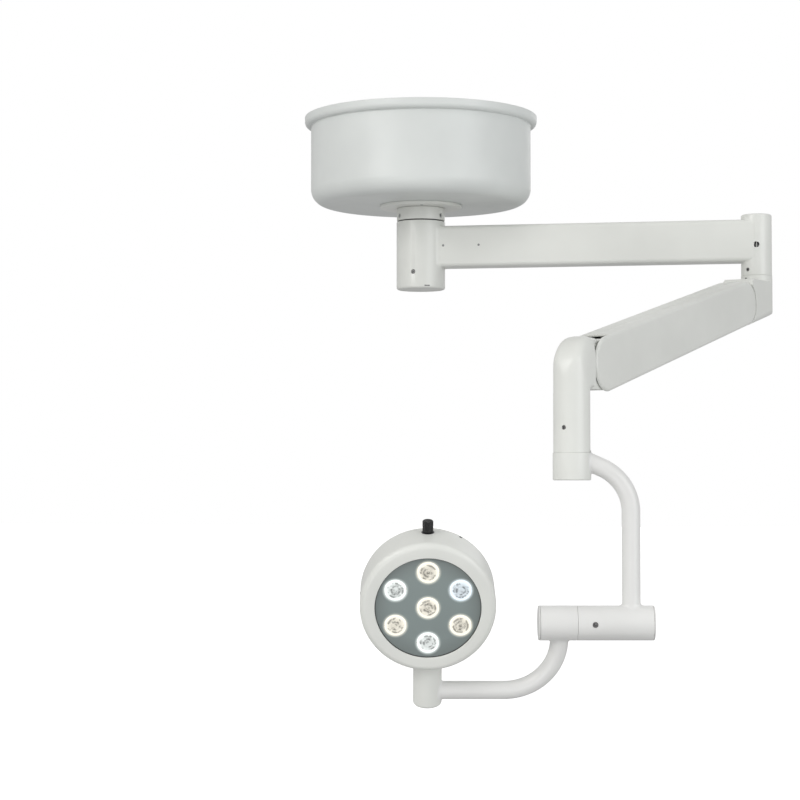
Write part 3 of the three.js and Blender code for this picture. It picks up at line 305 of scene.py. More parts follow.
def lit_panel(name):
    """Grey cover plate with painted shade that darkens it towards its rim, and a painted glow of each lens spilt
    on to it.
    """
    shader = Shader(name)
    centre = HEAD @ Vector((0, HEAD_FRONT + PANEL_DEPTH, 0))
    # painted shade: the plate is coloured darker towards its rim, where the housing shades it
    out = shader.remap(shader.distance(centre), 0.045, 0.079, 0, 1, True)
    drift = shader.remap(shader.noise(11, 2), 0.35, 0.65, 0, 0.25)
    grey_darkened_by_painted_shade = shader.blend(shader.math("MAXIMUM", out, drift), (0.235, 0.28, 0.275), (0.19, 0.22, 0.215))
    shader.set("Base Color", grey_darkened_by_painted_shade)
    shader.set("Roughness", shader.remap(shader.noise(240, 2), 0.3, 0.7, 0.36, 0.5))
    shader.bump(shader.noise(900, 1), 0.05, 0.0002)
    # painted light: the plate itself emits a glow around each lens, standing for the LED light spilt on to it
    painted_lens_glow, strength = None, None
    for index, tint in enumerate(LED_TINTS):
        near = shader.distance(lens_point(index, PANEL_DEPTH))
        light = shader.math("POWER", shader.remap(near, LENS_RADIUS * MM, 0.0205, 1, 0), 2.0)
        colour = shader.blend(light, (0, 0, 0), tint)
        if painted_lens_glow is None:
            painted_lens_glow, strength = colour, light
            continue
        painted_lens_glow = shader.blend(1, painted_lens_glow, colour, "ADD")
        strength = shader.math("MAXIMUM", strength, light)
    shader.set("Emission Color", painted_lens_glow)
    shader.set("Emission Strength", 0.6)
    return shader.material


def lit_lens(index, tint):
    """A collimator lens: a bright rim, rings of small bright facets and a dimmer pebbled middle."""
    shader = Shader(f"lit_lens_{index + 1}")
    out = shader.distance(lens_point(index, 2.5))
    cells = shader.add("ShaderNodeTexVoronoi", [("Vector", shader.where), ("Scale", 330)])
    pebble = shader.remap(cells.outputs["Distance"], 0.08, 0.45, 0.2, 1, True)
    coarse = shader.remap(shader.noise(150, 1), 0.4, 0.58, 0.1, 1, True)
    rings = shader.math("SINE", shader.math("MULTIPLY", out, 1300.0))
    ringed = shader.remap(rings, -1, 1, 0.35, 1)
    inside = shader.remap(out, 0.011, 0.0142, 1, 0, True)
    dark = shader.math("MULTIPLY", shader.math("MULTIPLY", pebble, ringed), coarse)
    dark = shader.math("MULTIPLY", dark, inside)
    shadow = varied(tint, 0.2)
    colour = shader.blend(dark, tint, shadow)
    shader.set("Base Color", varied(tint, 0.12))
    shader.set("Emission Color", colour)
    shader.set("Emission Strength", shader.remap(out, 0.006, 0.0155, 0.7, 1.05, True))
    shader.set("Roughness", shader.remap(shader.noise(500), 0.3, 0.7, 0.12, 0.25))
    shader.bump(cells.outputs["Distance"], 0.3, 0.0006)
    return shader.material


FINISHES = {
    "white_paint": paint("satin_white_paint", (0.735, 0.745, 0.71), 0.36, 0.02, 0.12),
    "canopy_white": paint("canopy_enamel", (0.7, 0.725, 0.71), 0.44, 0.012, 0.1),
    "steel": metal("bright_steel", (0.56, 0.57, 0.58), 0.34),
    "dark_steel": metal("black_oxide_steel", (0.13, 0.13, 0.14), 0.42),
    "aluminium": metal("cast_aluminium", (0.62, 0.63, 0.64), 0.42, (1, 1, 1)),
    "bronze": metal("sintered_bronze", (0.55, 0.36, 0.17), 0.46, (1, 1, 1)),
    "nylon": plastic("black_nylon", (0.018, 0.018, 0.017), 0.55, 900),
    "grey_panel": lit_panel("grey_panel_painted_shade_and_glow"),
    "black_plastic": plastic("black_knob_plastic", (0.008, 0.008, 0.008), 0.42, 1400),
    "box_plastic": plastic("driver_box_plastic", (0.62, 0.62, 0.6), 0.5, 700),
    "board": circuit_board("led_board_mask"),
}
# painted light: a lighter, slightly more neutral copy of the white paint for the tubes; its more neutral tone is
# the paint's own, while its extra lightness stands for the brighter light on them
tube_paint_painted_lighter = paint("satin_tube_paint", (0.765, 0.765, 0.75), 0.34, 0.02, 0.15)
worn_steel = metal("worn_black_steel", (0.27, 0.27, 0.27), 0.38)

# ---- mesh building


def around(sides):
    """The angles of the corners of a round ring."""
    return [2 * math.pi * i / sides for i in range(sides)]


def circle(radius, z, sides):
    return [Vector((radius * math.cos(a), radius * math.sin(a), z)) for a in around(sides)]


def loft(rings, closed=False):
    """Skins rings of equal length in order. An open run is capped, and a ring of one point is a tip."""
    bm = bmesh.new()
    loops = [[bm.verts.new(point) for point in ring] for ring in rings]
    pairs = list(zip(loops, loops[1:]))
    if closed:
        pairs.append((loops[-1], loops[0]))
    for a, b in pairs:
        count = max(len(a), len(b))
        for i in range(count):
            j = (i + 1) % count
            corners = [a[i % len(a)], a[j % len(a)], b[j % len(b)], b[i % len(b)]]
            bm.faces.new(list(dict.fromkeys(corners)))
    if not closed:
        for ring in (loops[0], loops[-1]):
            if len(ring) > 2:
                bm.faces.new(ring)
    return bm


def rounded(points, steps=7):
    """A closed outline from (x, y) or (x, y, fillet) corners."""
    outline = []
    for i, corner in enumerate(points):
        here = Vector(corner[:2])
        fillet = corner[2] if len(corner) > 2 else 0
        if not fillet:
            outline.append(here)
            continue
        back = (Vector(points[i - 1][:2]) - here).normalized()
        on = (Vector(points[(i + 1) % len(points)][:2]) - here).normalized()
        half = back.angle(on) / 2
        centre = here + (back + on).normalized() * (fillet / math.sin(half))
        first = here + back * (fillet / math.tan(half)) - centre
        last = here + on * (fillet / math.tan(half)) - centre
        swing = first.angle(last)
        for step in range(steps + 1):
            share = step / steps
            blend = first * math.sin((1 - share) * swing) + last * math.sin(share * swing)
            outline.append(centre + blend / math.sin(swing))
    return outline


def lathe(points, sides=144, steps=7):
    """Turns a rounded (radius, height) outline about Z. It runs from axis to axis or closes on itself."""
    outline = rounded(points, steps)
    whole = outline[0].x < 1e-6 and outline[-1].x < 1e-6
    rings = []
    for point in outline:
        if point.x < 1e-6:
            rings.append([Vector((0, 0, point.y))])
        else:
            rings.append(circle(point.x, point.y, sides))
    return loft(rings, closed=not whole)


def cylinder(radius, z0, z1, edge=0.0, sides=96):
    return lathe([(0, z0), (radius, z0, edge), (radius, z1, edge), (0, z1)], sides, 4)


def block(x0, x1, y0, y1, z0, z1):
    corners = [(x0, y0), (x1, y0), (x1, y1), (x0, y1)]
    return loft([[Vector((x, y, z)) for x, y in corners] for z in (z0, z1)])


def slab(outline, half_width):
    """An outline in X and Z with depth along Y."""
    return loft([[Vector((p[0], y, p[1])) for p in outline] for y in (-half_width, half_width)])


def arc(centre, radius, start, end, steps):
    angles = [math.radians(start + (end - start) * i / steps) for i in range(steps + 1)]
    return [Vector((centre[0] + radius * math.cos(a), centre[1] + radius * math.sin(a))) for a in angles]


def moved(bm, matrix):
    bmesh.ops.transform(bm, matrix=matrix, verts=bm.verts)
    return bm


def in_scene(name, data):
    item = bpy.data.objects.new(name, data)
    bpy.context.scene.collection.objects.link(item)
    return item


def made(name, bm):
    """An object with the mesh of bm, which is freed."""
    mesh = bpy.data.meshes.new(name)
    bm.to_mesh(mesh)
    bm.free()
    return in_scene(name, mesh)


def drill(radius, where, start=20, end=60):
    """A round tool for a hole along the local Z of a place."""
    return moved(cylinder(radius, start, end), where)


def temporary(bm):
    """A short-lived object that modifiers can work on."""
    bmesh.ops.recalc_face_normals(bm, faces=bm.faces)
    return made("temporary", bm)


def with_modifiers(item):
    """The mesh of an object after its modifiers, as a bmesh; the object is removed."""
    shown = item.evaluated_get(bpy.context.evaluated_depsgraph_get())
    bm = bmesh.new()
    bm.from_mesh(shown.to_mesh())
    shown.to_mesh_clear()
    bpy.data.objects.remove(item)
    return bm


def combine(operation, base, *others):
    """Cuts, joins or intersects closed meshes."""
    item = temporary(base)
    tools = [temporary(other) for other in others]
    for tool in tools:
        modifier = item.modifiers.new("combine", "BOOLEAN")
        modifier.operation = operation
        modifier.solver = "MANIFOLD"
        modifier.object = tool
    bm = with_modifiers(item)
    for tool in tools:
        bpy.data.objects.remove(tool)
    return bm


def softened(bm, voxel, passes):
    """Remeshes a casting evenly and eases its edges."""
    item = temporary(bm)
    remesh = item.modifiers.new("remesh", "REMESH")
    remesh.mode = "VOXEL"
    remesh.voxel_size = voxel
    smooth = item.modifiers.new("smooth", "SMOOTH")
    smooth.factor = 0.5
    smooth.iterations = passes
    return with_modifiers(item)


def eased(bm, where, passes):
    """Blends the creases among the vertices for which where() holds."""
    chosen = [vert for vert in bm.verts if where(vert.co)]
    axes = {"use_axis_x": True, "use_axis_y": True, "use_axis_z": True}
    for _ in range(passes):
        bmesh.ops.smooth_vert(bm, verts=chosen, factor=0.5, **axes)
    return bm


def bevelled(bm, width, angle=40, segments=3):
    item = temporary(bm)
    modifier = item.modifiers.new("bevel", "BEVEL")
    modifier.width = width
    modifier.segments = segments
    modifier.limit_method = "ANGLE"
    modifier.angle_limit = math.radians(angle)
    return with_modifiers(item)


def piece(name, bm, where, body, finish, nodes=(), material=None):
    """Puts a finished mesh in the scene on its CAD body."""
    bmesh.ops.remove_doubles(bm, verts=bm.verts, dist=1e-3)
    bmesh.ops.recalc_face_normals(bm, faces=bm.faces)
    for face in bm.faces:
        face.smooth = True
    for edge in bm.edges:
        edge.smooth = len(edge.link_faces) == 2 and edge.calc_face_angle(0) < math.radians(CREASE)
    item = made(name, moved(bm, where))
    item.data.materials.append(material or FINISHES[finish])
    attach(item, body)
    if nodes:
        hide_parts(*nodes)


def painted(name, bm, where, body, nodes=(), material=None):
    piece(name, bm, where, body, "white_paint", nodes, material)


def socket_screw(radius, length, socket):
    """A set screw along Z with a chamfered end and a hexagon socket; its face is at Z 0."""
    sides = 48

    def hexagon(r, z):
        reach = [r / math.cos((a % (math.pi / 3)) - math.pi / 6) for a in around(sides)]
        return [Vector((x * math.cos(a), x * math.sin(a), z)) for x, a in zip(reach, around(sides))]

    return loft([
        circle(radius, -length, sides),
        circle(radius, -0.25 * radius, sides),
        circle(0.84 * radius, 0, sides),
        hexagon(socket + 0.25, 0),
        hexagon(socket, -0.3),
        hexagon(socket, -1.1 * radius),
        [Vector((0, 0, -1.35 * radius))],
    ])


def pan_screw(radius, height):
    """A low domed head along Z with a cross recess, sitting on Z 0."""
    dome = [(0, -1), (radius, -1), (radius, 0.1), (0.72 * radius, 0.8 * height, 0.8), (0, height)]
    arms = [block(-0.62 * radius, 0.62 * radius, -0.13 * radius, 0.13 * radius, 0.35 * height, 2 * height)]
    arms.append(moved(arms[0].copy(), turn(90, "Z")))
    return combine("DIFFERENCE", lathe(dome, 48, 5), *arms)


def sweep(stations, radius, sides=72):
    """A round bar along (point, direction) stations that lie in the XZ plane."""
    rings = []
    for point, direction in stations:
        up = direction.cross(Y)
        rings.append([point + up * p.x + Y * p.y for p in circle(radius, 0, sides)])
    return loft(rings)


def bend_stations(start, centre, radius, first, last, end, steps=40):
    """Straight, bend, straight: the bend turns clockwise from angle first to angle last."""
    stations = []
    for i in range(steps + 1):
        angle = math.radians(first + (last - first) * i / steps)
        point = Vector((centre[0] + radius * math.cos(angle), 0, centre[1] + radius * math.sin(angle)))
        stations.append((point, Vector((math.sin(angle), 0, -math.cos(angle)))))
    return [(start, stations[0][1]), *stations, (end, stations[-1][1])]


def leave_bar(point, direction, bar_point, bar_axis, radius):
    """Where a line from inside a round bar comes out of it."""
    across = direction - bar_axis * direction.dot(bar_axis)
    offset = point - bar_point
    offset = offset - bar_axis * offset.dot(bar_axis)
    a, b, c = across.dot(across), 2 * across.dot(offset), offset.dot(offset) - radius**2
    reach = (-b + math.sqrt(max(b * b - 4 * a * c, 0))) / (2 * a)
    return point + direction * reach


def weld(section, direction, bar, size, steps=7):
    """The painted-over weld where a bar of the given section leaves a round one.

    section holds (point, outward normal, share of the full size) all round the leaving bar."""
    rings = []
    for point, normal, share in section:
        width = size * share
        seam = leave_bar(point, direction, *bar)
        onto = leave_bar(point + normal * width, direction, *bar)
        along = seam + direction * width
        ring = []
        for i in range(steps + 1):
            t = i / steps
            ring.append(along * (1 - t) ** 2 + seam * (2 * t * (1 - t)) + onto * t**2)
        ring.append(seam - (normal + direction) * 0.8)
        rings.append(ring)
    return loft(rings, closed=True)


def tube_weld(name, point, direction, bar, size, where, body):
    """The weld where a bent tube through point leaves a round bar."""
    up = direction.cross(Y).normalized()
    side = up.cross(direction).normalized()
    section = []
    for angle in around(72):
        normal = up * math.cos(angle) + side * math.sin(angle)
        section.append((point + normal * TUBE_RADIUS, normal, 1))
    painted(name, weld(section, direction, bar, size), where, body, (), tube_paint_painted_lighter)


# ---- ceiling mount


def build_mount():
    """The spun canopy, its closing ring, the clamped collar and the washer below it."""
    shell = lathe([
        (CANOPY_HOLE, -CANOPY_HEIGHT, 0.8),
        (CANOPY_RADIUS, -CANOPY_HEIGHT, CANOPY_FILLET), (CANOPY_RADIUS, -RIM_HEIGHT, 1.2),
        (RIM_RADIUS, -RIM_HEIGHT, RIM_FILLET), (RIM_RADIUS, -0.5, 0.8),
        (RIM_RADIUS - CANOPY_WALL, -0.5, 0.8),
        (RIM_RADIUS - CANOPY_WALL, CANOPY_WALL - RIM_HEIGHT, RIM_FILLET - CANOPY_WALL),
        (CANOPY_RADIUS - CANOPY_WALL, CANOPY_WALL - RIM_HEIGHT, 1),
        (CANOPY_RADIUS - CANOPY_WALL, CANOPY_WALL - CANOPY_HEIGHT, CANOPY_FILLET - CANOPY_WALL),
        (CANOPY_HOLE, CANOPY_WALL - CANOPY_HEIGHT, 0.8),
    ], 256, 16)
    piece("canopy", shell, MOUNT, "ceiling_mount", "canopy_white", ["canopy_shell"])
    ring_top = -CANOPY_HEIGHT - PAINT_GAP
    escutcheon = lathe([
        (RING_BORE, RING_BOTTOM, 0.5),
        (RING_RADIUS, RING_BOTTOM, 3.5),
        (RING_RADIUS, ring_top, 0.3),
        (RING_BORE, ring_top),
    ], 192)
    painted("escutcheon_ring", escutcheon, MOUNT, "ceiling_mount", ["canopy_ring"])
    for number, angle in enumerate(RING_SCREW_ANGLES):
        at = MOUNT @ turn(angle, "Z") @ shift(RING_SCREW_CIRCLE, 0, RING_BOTTOM) @ turn(180, "X")
        piece(f"ring_screw_{number + 1}", pan_screw(2.7, 1.4), at, "ceiling_mount", "steel")
    top = RING_BOTTOM - PAINT_GAP
    body = lathe([
        (COLLAR_BORE, COLLAR_BOTTOM, 0.4),
        (COLLAR_RADIUS, COLLAR_BOTTOM, 1),
        (COLLAR_RADIUS, top, 0.8),
        (COLLAR_BORE, top),
    ], 192)
    holes = [drill(SCREW_HOLE, radial(Matrix(), a, COLLAR_SCREW_Z)) for a in COLLAR_SCREW_ANGLES]
    body = bevelled(combine("DIFFERENCE", body, *holes), 0.35, 50, 2)
    painted("fixed_collar_skin", body, MOUNT, "ceiling_mount", ["fixed_collar"])
    for number, angle in enumerate(COLLAR_SCREW_ANGLES):
        at = radial(MOUNT, angle, COLLAR_SCREW_Z, COLLAR_RADIUS - 1.2)
        piece(f"collar_screw_{number + 1}", socket_screw(4, 12, 2.2), at, "ceiling_mount", "steel")
    washer = lathe([
        (WASHER_BORE, WASHER_BOTTOM, 0.3),
        (WASHER_RADIUS, WASHER_BOTTOM, 0.5),
        (WASHER_RADIUS, WASHER_TOP, 0.5),
        (WASHER_BORE, WASHER_TOP, 0.3),
    ], 144)
    piece("seam_ring", washer, MOUNT, "ceiling_mount", "nylon", ["seam_washer"])


# ---- horizontal arm


def beam_outline(inset):
    w, h, corner = BEAM_WIDTH / 2 - inset, BEAM_HEIGHT / 2 - inset, BEAM_CORNER - inset
    return rounded([(w, h, corner), (-w, h, corner), (-w, -h, corner), (w, -h, corner)], 9)


def beam_mesh():
    """The hollow beam, with ends cut to the post and the hub."""
    rings = []
    for inset, ends in ((0, ("post", "hub")), (BEAM_WALL, ("hub", "post"))):
        for end in ends:
            ring = []
            for y, z in beam_outline(inset):
                if end == "post":
                    x = math.sqrt((POST_RADIUS + PAINT_GAP) ** 2 - y * y)
                else:
                    x = HUB_X - math.sqrt(max((HUB_RADIUS + PAINT_GAP) ** 2 - y * y, 0))
                ring.append(Vector((x, y, BEAM_Z + z)))
            rings.append(ring)
    return loft(rings, closed=True)


def beam_section(toward, taper):
    """The beam's outline with normals for weld(); taper fades the bead where the sides run out."""
    outline = beam_outline(0)
    section = []
    for i, (y, z) in enumerate(outline):
        before, after = outline[i - 1], outline[(i + 1) % len(outline)]
        edge = after - before
        normal = Vector((0, edge.y, -edge.x)).normalized()
        if normal.dot(Vector((0, y, z))) < 0:
            normal = -normal
        share = min(1, max(0.02, (BEAM_WIDTH / 2 - abs(y)) / 8)) if taper else 1
        section.append((Vector((toward, y, BEAM_Z + z)), normal, share))
    return section


def build_arm():
    """The painted weldment of post, beam and end hub, with its caps and screws."""
    post = lathe([
        (POST_BORE, POST_TOP, 0.4),
        (POST_BORE, POST_LIP_TOP),
        (POST_LIP, POST_LIP_TOP),
        (POST_LIP, POST_LIP_BOTTOM),
        (POST_CAP_BORE, POST_LIP_BOTTOM),
        (POST_CAP_BORE, POST_BOTTOM, 0.5),
        (POST_RADIUS, POST_BOTTOM, 4.2),
        (POST_RADIUS, POST_TOP, 1.3),
    ], 192)
    hole = drill(SCREW_HOLE, radial(Matrix(), POST_SCREW_ANGLE, POST_SCREW_Z))
    post = bevelled(combine("DIFFERENCE", post, hole), 0.4, 50, 2)
    painted("arm_post_skin", post, MOUNT, "main_arm", ["arm_post"])
    painted("arm_beam_skin", beam_mesh(), MOUNT, "main_arm", ["arm_beam"])
    hub = lathe([
        (HUB_BORE, HUB_BOTTOM, 0.5),
        (HUB_RADIUS, HUB_BOTTOM, 0.8),
        (HUB_RADIUS, HUB_TOP, 3.2),
        (HUB_CAP_BORE, HUB_TOP, 0.3),
        (HUB_CAP_BORE, HUB_TOP - HUB_CAP_DEPTH),
        (HUB_BORE, HUB_TOP - HUB_CAP_DEPTH),
    ], 144)
    hub_hole = drill(HUB_HOLE_RADIUS, radial(Matrix(), HUB_HOLE_ANGLE, HUB_HOLE_Z), 15, 40)
    stop_hole = drill(HUB_STOP_RADIUS, radial(Matrix(), HUB_STOP_ANGLE, HUB_STOP_Z), 20, 40)
    hub = bevelled(combine("DIFFERENCE", hub, hub_hole, stop_hole), 0.4, 50, 2)
    painted("arm_end_hub_skin", hub, HUB, "main_arm", ["arm_end_hub"])
    post_bar = (Vector((0, 0, 0)), Z, POST_RADIUS)
    hub_bar = (Vector((HUB_X, 0, 0)), Z, HUB_RADIUS)
    painted("post_weld", weld(beam_section(0, False), X, post_bar, POST_WELD), MOUNT, "main_arm")
    painted("hub_weld", weld(beam_section(HUB_X, True), -X, hub_bar, HUB_WELD), MOUNT, "main_arm")
    foot = cylinder(POST_CAP_BORE - 0.4, POST_BOTTOM + 0.4, POST_BOTTOM + 4, 0.7, 144)
    painted("post_foot_cap", foot, MOUNT, "main_arm", ["post_bottom_cap"])
    cap = cylinder(HUB_CAP_BORE - PAINT_GAP, HUB_TOP - HUB_CAP_DEPTH + PAINT_GAP, HUB_TOP - 0.4, 0.6)
    painted("hub_cap", cap, HUB, "main_arm", ["end_hub_cap"])
    at = radial(MOUNT, POST_SCREW_ANGLE, POST_SCREW_Z, POST_RADIUS - 1.5)
    screw = socket_screw(4, 12, 2.1)
    piece("post_screw", screw, at, "main_arm", "dark_steel", ["post_brake_screw"], worn_steel)
    at = radial(HUB, HUB_HOLE_ANGLE, HUB_HOLE_Z, HUB_BORE)
    piece("hub_screw", socket_screw(5, 7, 2.6), at, "main_arm", "dark_steel", ["end_brake_screw"])
    at = radial(HUB, HUB_STOP_ANGLE, HUB_STOP_Z, HUB_RADIUS - 0.8)
    piece("hub_stop_screw", socket_screw(3.3, 6, 1.6), at, "main_arm", "dark_steel", (), worn_steel)
    for number, x in enumerate(BEAM_SCREWS):
        at = MOUNT @ shift(x, -BEAM_WIDTH / 2, BEAM_SCREW_Z) @ turn(90, "X")
        piece(f"beam_screw_{number + 1}", pan_screw(2.2, 0.5), at, "main_arm", "dark_steel", (), worn_steel)
    slot = bevelled(block(-5, 5, -1.2, 1.2, -1, 0.2), 0.5)
    at = radial(MOUNT, POST_MARK_ANGLE, POST_MARK_Z, POST_RADIUS - 0.1) @ turn(90, "Z")
    piece("post_stop_mark", slot, at, "main_arm", "dark_steel", (), worn_steel)


# ---- knuckle and spring arm


def pin_holes(pivot):
    """The holes of a pivot pin and of the tie rod's pin above it."""
    holes = []
    for radius, rise in ((PIVOT_HOLE, 0), (TIE_HOLE, TIE_RISE)):
        at = shift(pivot.x, 0, pivot.z + rise) @ TO_Y
        holes.append(moved(cylinder(radius, -60, 60, 0, 64), at))
    return holes


def tongue(pivot):
    """The round end that turns inside the cover."""
    return drill(TONGUE_RADIUS, shift(pivot.x, 0, pivot.z) @ TO_Y, -TONGUE_HALF, TONGUE_HALF)


def build_knuckle():
    """The casting under the hub; its underside runs in line with the arm and ends in a round heel."""
    half = ARM_WIDTH / 2
    lip_s, lip_z = KNUCKLE_LIP
    shoulder_near, shoulder_far, shoulder_drop = KNUCKLE_SHOULDER
    heel_s = KNUCKLE_HEEL - half
    heel_z = lip_z + (lip_s - heel_s) * math.tan(PITCH) + KNUCKLE_HEEL / math.cos(PITCH)
    side = [
        Vector((-half, KNUCKLE_TOP)),
        *arc((heel_s, heel_z), KNUCKLE_HEEL, 180, 270 - math.degrees(PITCH), 24),
        Vector(KNUCKLE_LIP),
        *arc((ROOT.x, ROOT.z), POCKET_RADIUS, POCKET_START, POCKET_END, 24),
        Vector((shoulder_far, KNUCKLE_TOP - shoulder_drop)),
        Vector((shoulder_near, KNUCKLE_TOP)),
    ]
    plan = combine("UNION", cylinder(half, -440, -300, 0, 144), block(0, 120, -half, half, -440, -300))
    section = rounded([
        (half, 200), (-half, 200), (-half, 0, KNUCKLE_KEEL), (half, 0, KNUCKLE_KEEL),
    ], 10)
    keel = loft([[Vector((s, p.x, p.y)) for p in section] for s in (-200, 200)])
    moved(keel, shift(lip_s, 0, lip_z) @ Matrix.Rotation(PITCH, 4, "Y"))
    body = combine("INTERSECT", slab(side, half), plan, keel)
    neck = block(60, ROOT.x, -TONGUE_HALF, TONGUE_HALF, ROOT.z - FORK_HALF, ROOT.z + FORK_HALF)
    gap = block(ROOT.x - FORK_REACH, ROOT.x + 60, -TONGUE_SLOT, TONGUE_SLOT, ROOT.z - 60, ROOT.z + 60)
    holding = combine("UNION", neck, tongue(ROOT))
    holding = combine("DIFFERENCE", holding, gap, *pin_holes(ROOT))
    seat = HUB_BOTTOM - 0.2
    boss = cylinder(half, KNUCKLE_TOP - 2, seat + 3, 0, 144)
    shaft = cylinder(KNUCKLE_SHAFT, KNUCKLE_TOP - 2, KNUCKLE_SHAFT_TOP)
    casting = softened(combine("UNION", body, holding, boss, shaft), 1.0, 4)
    faced = combine("DIFFERENCE", cylinder(40, seat, seat + 20), cylinder(KNUCKLE_BUSH, seat - 1, seat + 30))
    casting = combine("DIFFERENCE", casting, faced)
    painted("knuckle_casting", casting, ARM, "knuckle", ["root_knuckle"])
    stop = cylinder(2.6, -1, 1.6, 0.5, 32)
    at = radial(ARM, KNUCKLE_STOP_ANGLE, KNUCKLE_STOP_Z, half - 0.4)
    piece("knuckle_stop_pin", stop, at, "knuckle", "dark_steel")


def cover_outline(inset):
    """The cover from the side: two round ends of different size and the straight lines between them."""
    lean = math.degrees(math.asin((COVER_END - COVER_START) / PIVOT_SPACING))
    start = arc((0, 0), COVER_START - inset, 90 + lean, 270 - lean, 48)
    end = arc((PIVOT_SPACING, 0), COVER_END - inset, -90 - lean, 90 + lean, 48)
    return start + end


def cover_mesh(side):
    """Half of the spring cover on one side of the middle plane, with a rounded outer edge."""
    steps, outer = 10, ARM_WIDTH / 2
    rings = [[Vector((p.x, side * PAINT_GAP / 2, p.y)) for p in cover_outline(0)]]
    for i in range(steps + 1):
        angle = math.pi / 2 * i / steps
        inset = COVER_EDGE * (1 - math.cos(angle))
        y = outer - COVER_EDGE * (1 - math.sin(angle))
        rings.append([Vector((p.x, side * y, p.y)) for p in cover_outline(inset)])
    cavity = []
    for y in (-1, outer - COVER_WALL):
        cavity.append([Vector((p.x, side * y, p.y)) for p in cover_outline(COVER_WALL)])
    end, slot = PIVOT_SPACING, NECK_HALF + SLOT_GAP
    slots = [
        block(end - YOKE_SLOT_TOP, end + 60, -slot, slot, 0, 60),
        block(end - YOKE_SLOT_BOTTOM, end + 60, -slot, slot, -60, 1),
        block(-60, ROOT_SLOT_TOP, -slot, slot, 0, 60),
        block(-60, ROOT_SLOT_BOTTOM, -slot, slot, -60, 1),
    ]
    return combine("DIFFERENCE", loft(rings), loft(cavity), *slots)


def build_spring_arm():
    for name, side in (("near", 1), ("far", -1)):
        shell = bevelled(cover_mesh(side), 0.5, 55, 2)
        painted(f"spring_{name}", shell, COVER, "spring_arm", [f"cover_{name}"])


# ---- yoke


def soft(value):
    """Pushes a sine or cosine outwards, which turns an ellipse into a softened rectangle."""
    return math.copysign(math.sqrt(abs(value)), value)


def soft_oval(half_width, half_height, steps):
    """An oval with softened corners about the origin."""
    ring = arc((0, 0), 1, 0, 360, steps)[:-1]
    return [Vector((half_width * soft(p.x), half_height * soft(p.y))) for p in ring]


def soft_ball():
    """A unit ball that is round seen along Y and has the soft oval's section across it."""
    ball = bmesh.new()
    bmesh.ops.create_uvsphere(ball, u_segments=128, v_segments=64, radius=1)
    moved(ball, TO_Y)
    for vert in ball.verts:
        x, y, z = vert.co
        spread = 1 / math.sqrt(max(math.hypot(x, z), 1e-4))
        vert.co = (x * spread, soft(y), z * spread)
    return ball


def build_yoke():
    """The elbow: an upright barrel, a ball-like shoulder, a neck towards the pivot and a dust lip."""
    bend_z = YOKE_TOP - SHOULDER_DROP
    bend_s = YOKE_S + YOKE_RADIUS - SHOULDER_REACH
    barrel = moved(cylinder(YOKE_RADIUS, YOKE_BOTTOM - 5, bend_z + 1, 0, 144), shift(YOKE_S))
    ball = moved(soft_ball(), shift(bend_s, 0, bend_z) @ scaled(SHOULDER_REACH, YOKE_RADIUS, SHOULDER_DROP))
    keep = block(YOKE_PIVOT.x + COVER_END + 1.5, YOKE_S + 60, -60, 60, bend_z - 14, YOKE_TOP + 10)
    plan = combine(
        "UNION",
        moved(cylinder(YOKE_RADIUS, bend_z - 30, YOKE_TOP + 10, 0, 144), shift(YOKE_S)),
        block(YOKE_PIVOT.x, YOKE_S, -YOKE_RADIUS, YOKE_RADIUS, bend_z - 30, YOKE_TOP + 10),
    )
    shoulder = combine("INTERSECT", ball, keep, plan)
    oval = soft_oval(NECK_HALF, SHOULDER_DROP - 0.6, 96)
    ends = (YOKE_PIVOT.x + NECK_START, bend_s + 5)
    neck = loft([[Vector((s, p.x, bend_z + p.y)) for p in oval] for s in ends])
    relief = drill(RELIEF_RADIUS, shift(YOKE_PIVOT.x, 0, YOKE_PIVOT.z) @ TO_Y, -60)
    below = block(YOKE_PIVOT.x, YOKE_S, -60, 60, NECK_BOTTOM - 60, NECK_BOTTOM)
    neck = combine("DIFFERENCE", neck, relief, below)
    pivot = (YOKE_PIVOT.x, YOKE_PIVOT.z)
    outside = arc(pivot, LIP_RADIUS, LIP_START, LIP_END, 24)
    lip = slab(outside + arc(pivot, RELIEF_RADIUS, LIP_END, LIP_START, 24), LIP_HALF)
    low, high = YOKE_PIVOT.z - FORK_HALF, YOKE_PIVOT.z + FORK_HALF
    core = block(YOKE_PIVOT.x, YOKE_S - 6, -TONGUE_HALF, TONGUE_HALF, low, high)
    fork_end = YOKE_PIVOT.x + FORK_REACH
    gap = block(YOKE_PIVOT.x - 60, fork_end, -TONGUE_SLOT, TONGUE_SLOT, YOKE_PIVOT.z - 60, YOKE_PIVOT.z + 60)
    holding = combine("UNION", core, tongue(YOKE_PIVOT))
    holding = combine("DIFFERENCE", holding, gap, *pin_holes(YOKE_PIVOT))
    bore = moved(cylinder(YOKE_BORE, YOKE_BOTTOM - 10, YOKE_BORE_TOP), shift(YOKE_S))
    hole = drill(YOKE_SCREW_HOLE, shift(YOKE_S, 0, YOKE_SCREW_Z) @ TO_X, 0)
    casting = combine("UNION", barrel, shoulder, neck, lip, holding)
    casting = softened(combine("DIFFERENCE", casting, bore, hole), 0.9, 4)
    casting = eased(casting, lambda at: at.z > bend_z - 26 and at.x > YOKE_PIVOT.x + 46, 90)
    casting = combine("DIFFERENCE", casting, block(0, 900, -60, 60, YOKE_BOTTOM - 20, YOKE_BOTTOM))
    painted("yoke_casting", casting, ARM, "yoke", ["yoke"])
    at = radial(ARM @ shift(YOKE_S), 0, YOKE_SCREW_Z, YOKE_RADIUS - 1)
    piece("yoke_screw", socket_screw(3, 10, 1.6), at, "yoke", "dark_steel", ["yoke_brake_screw"], worn_steel)


# ---- bent tubes


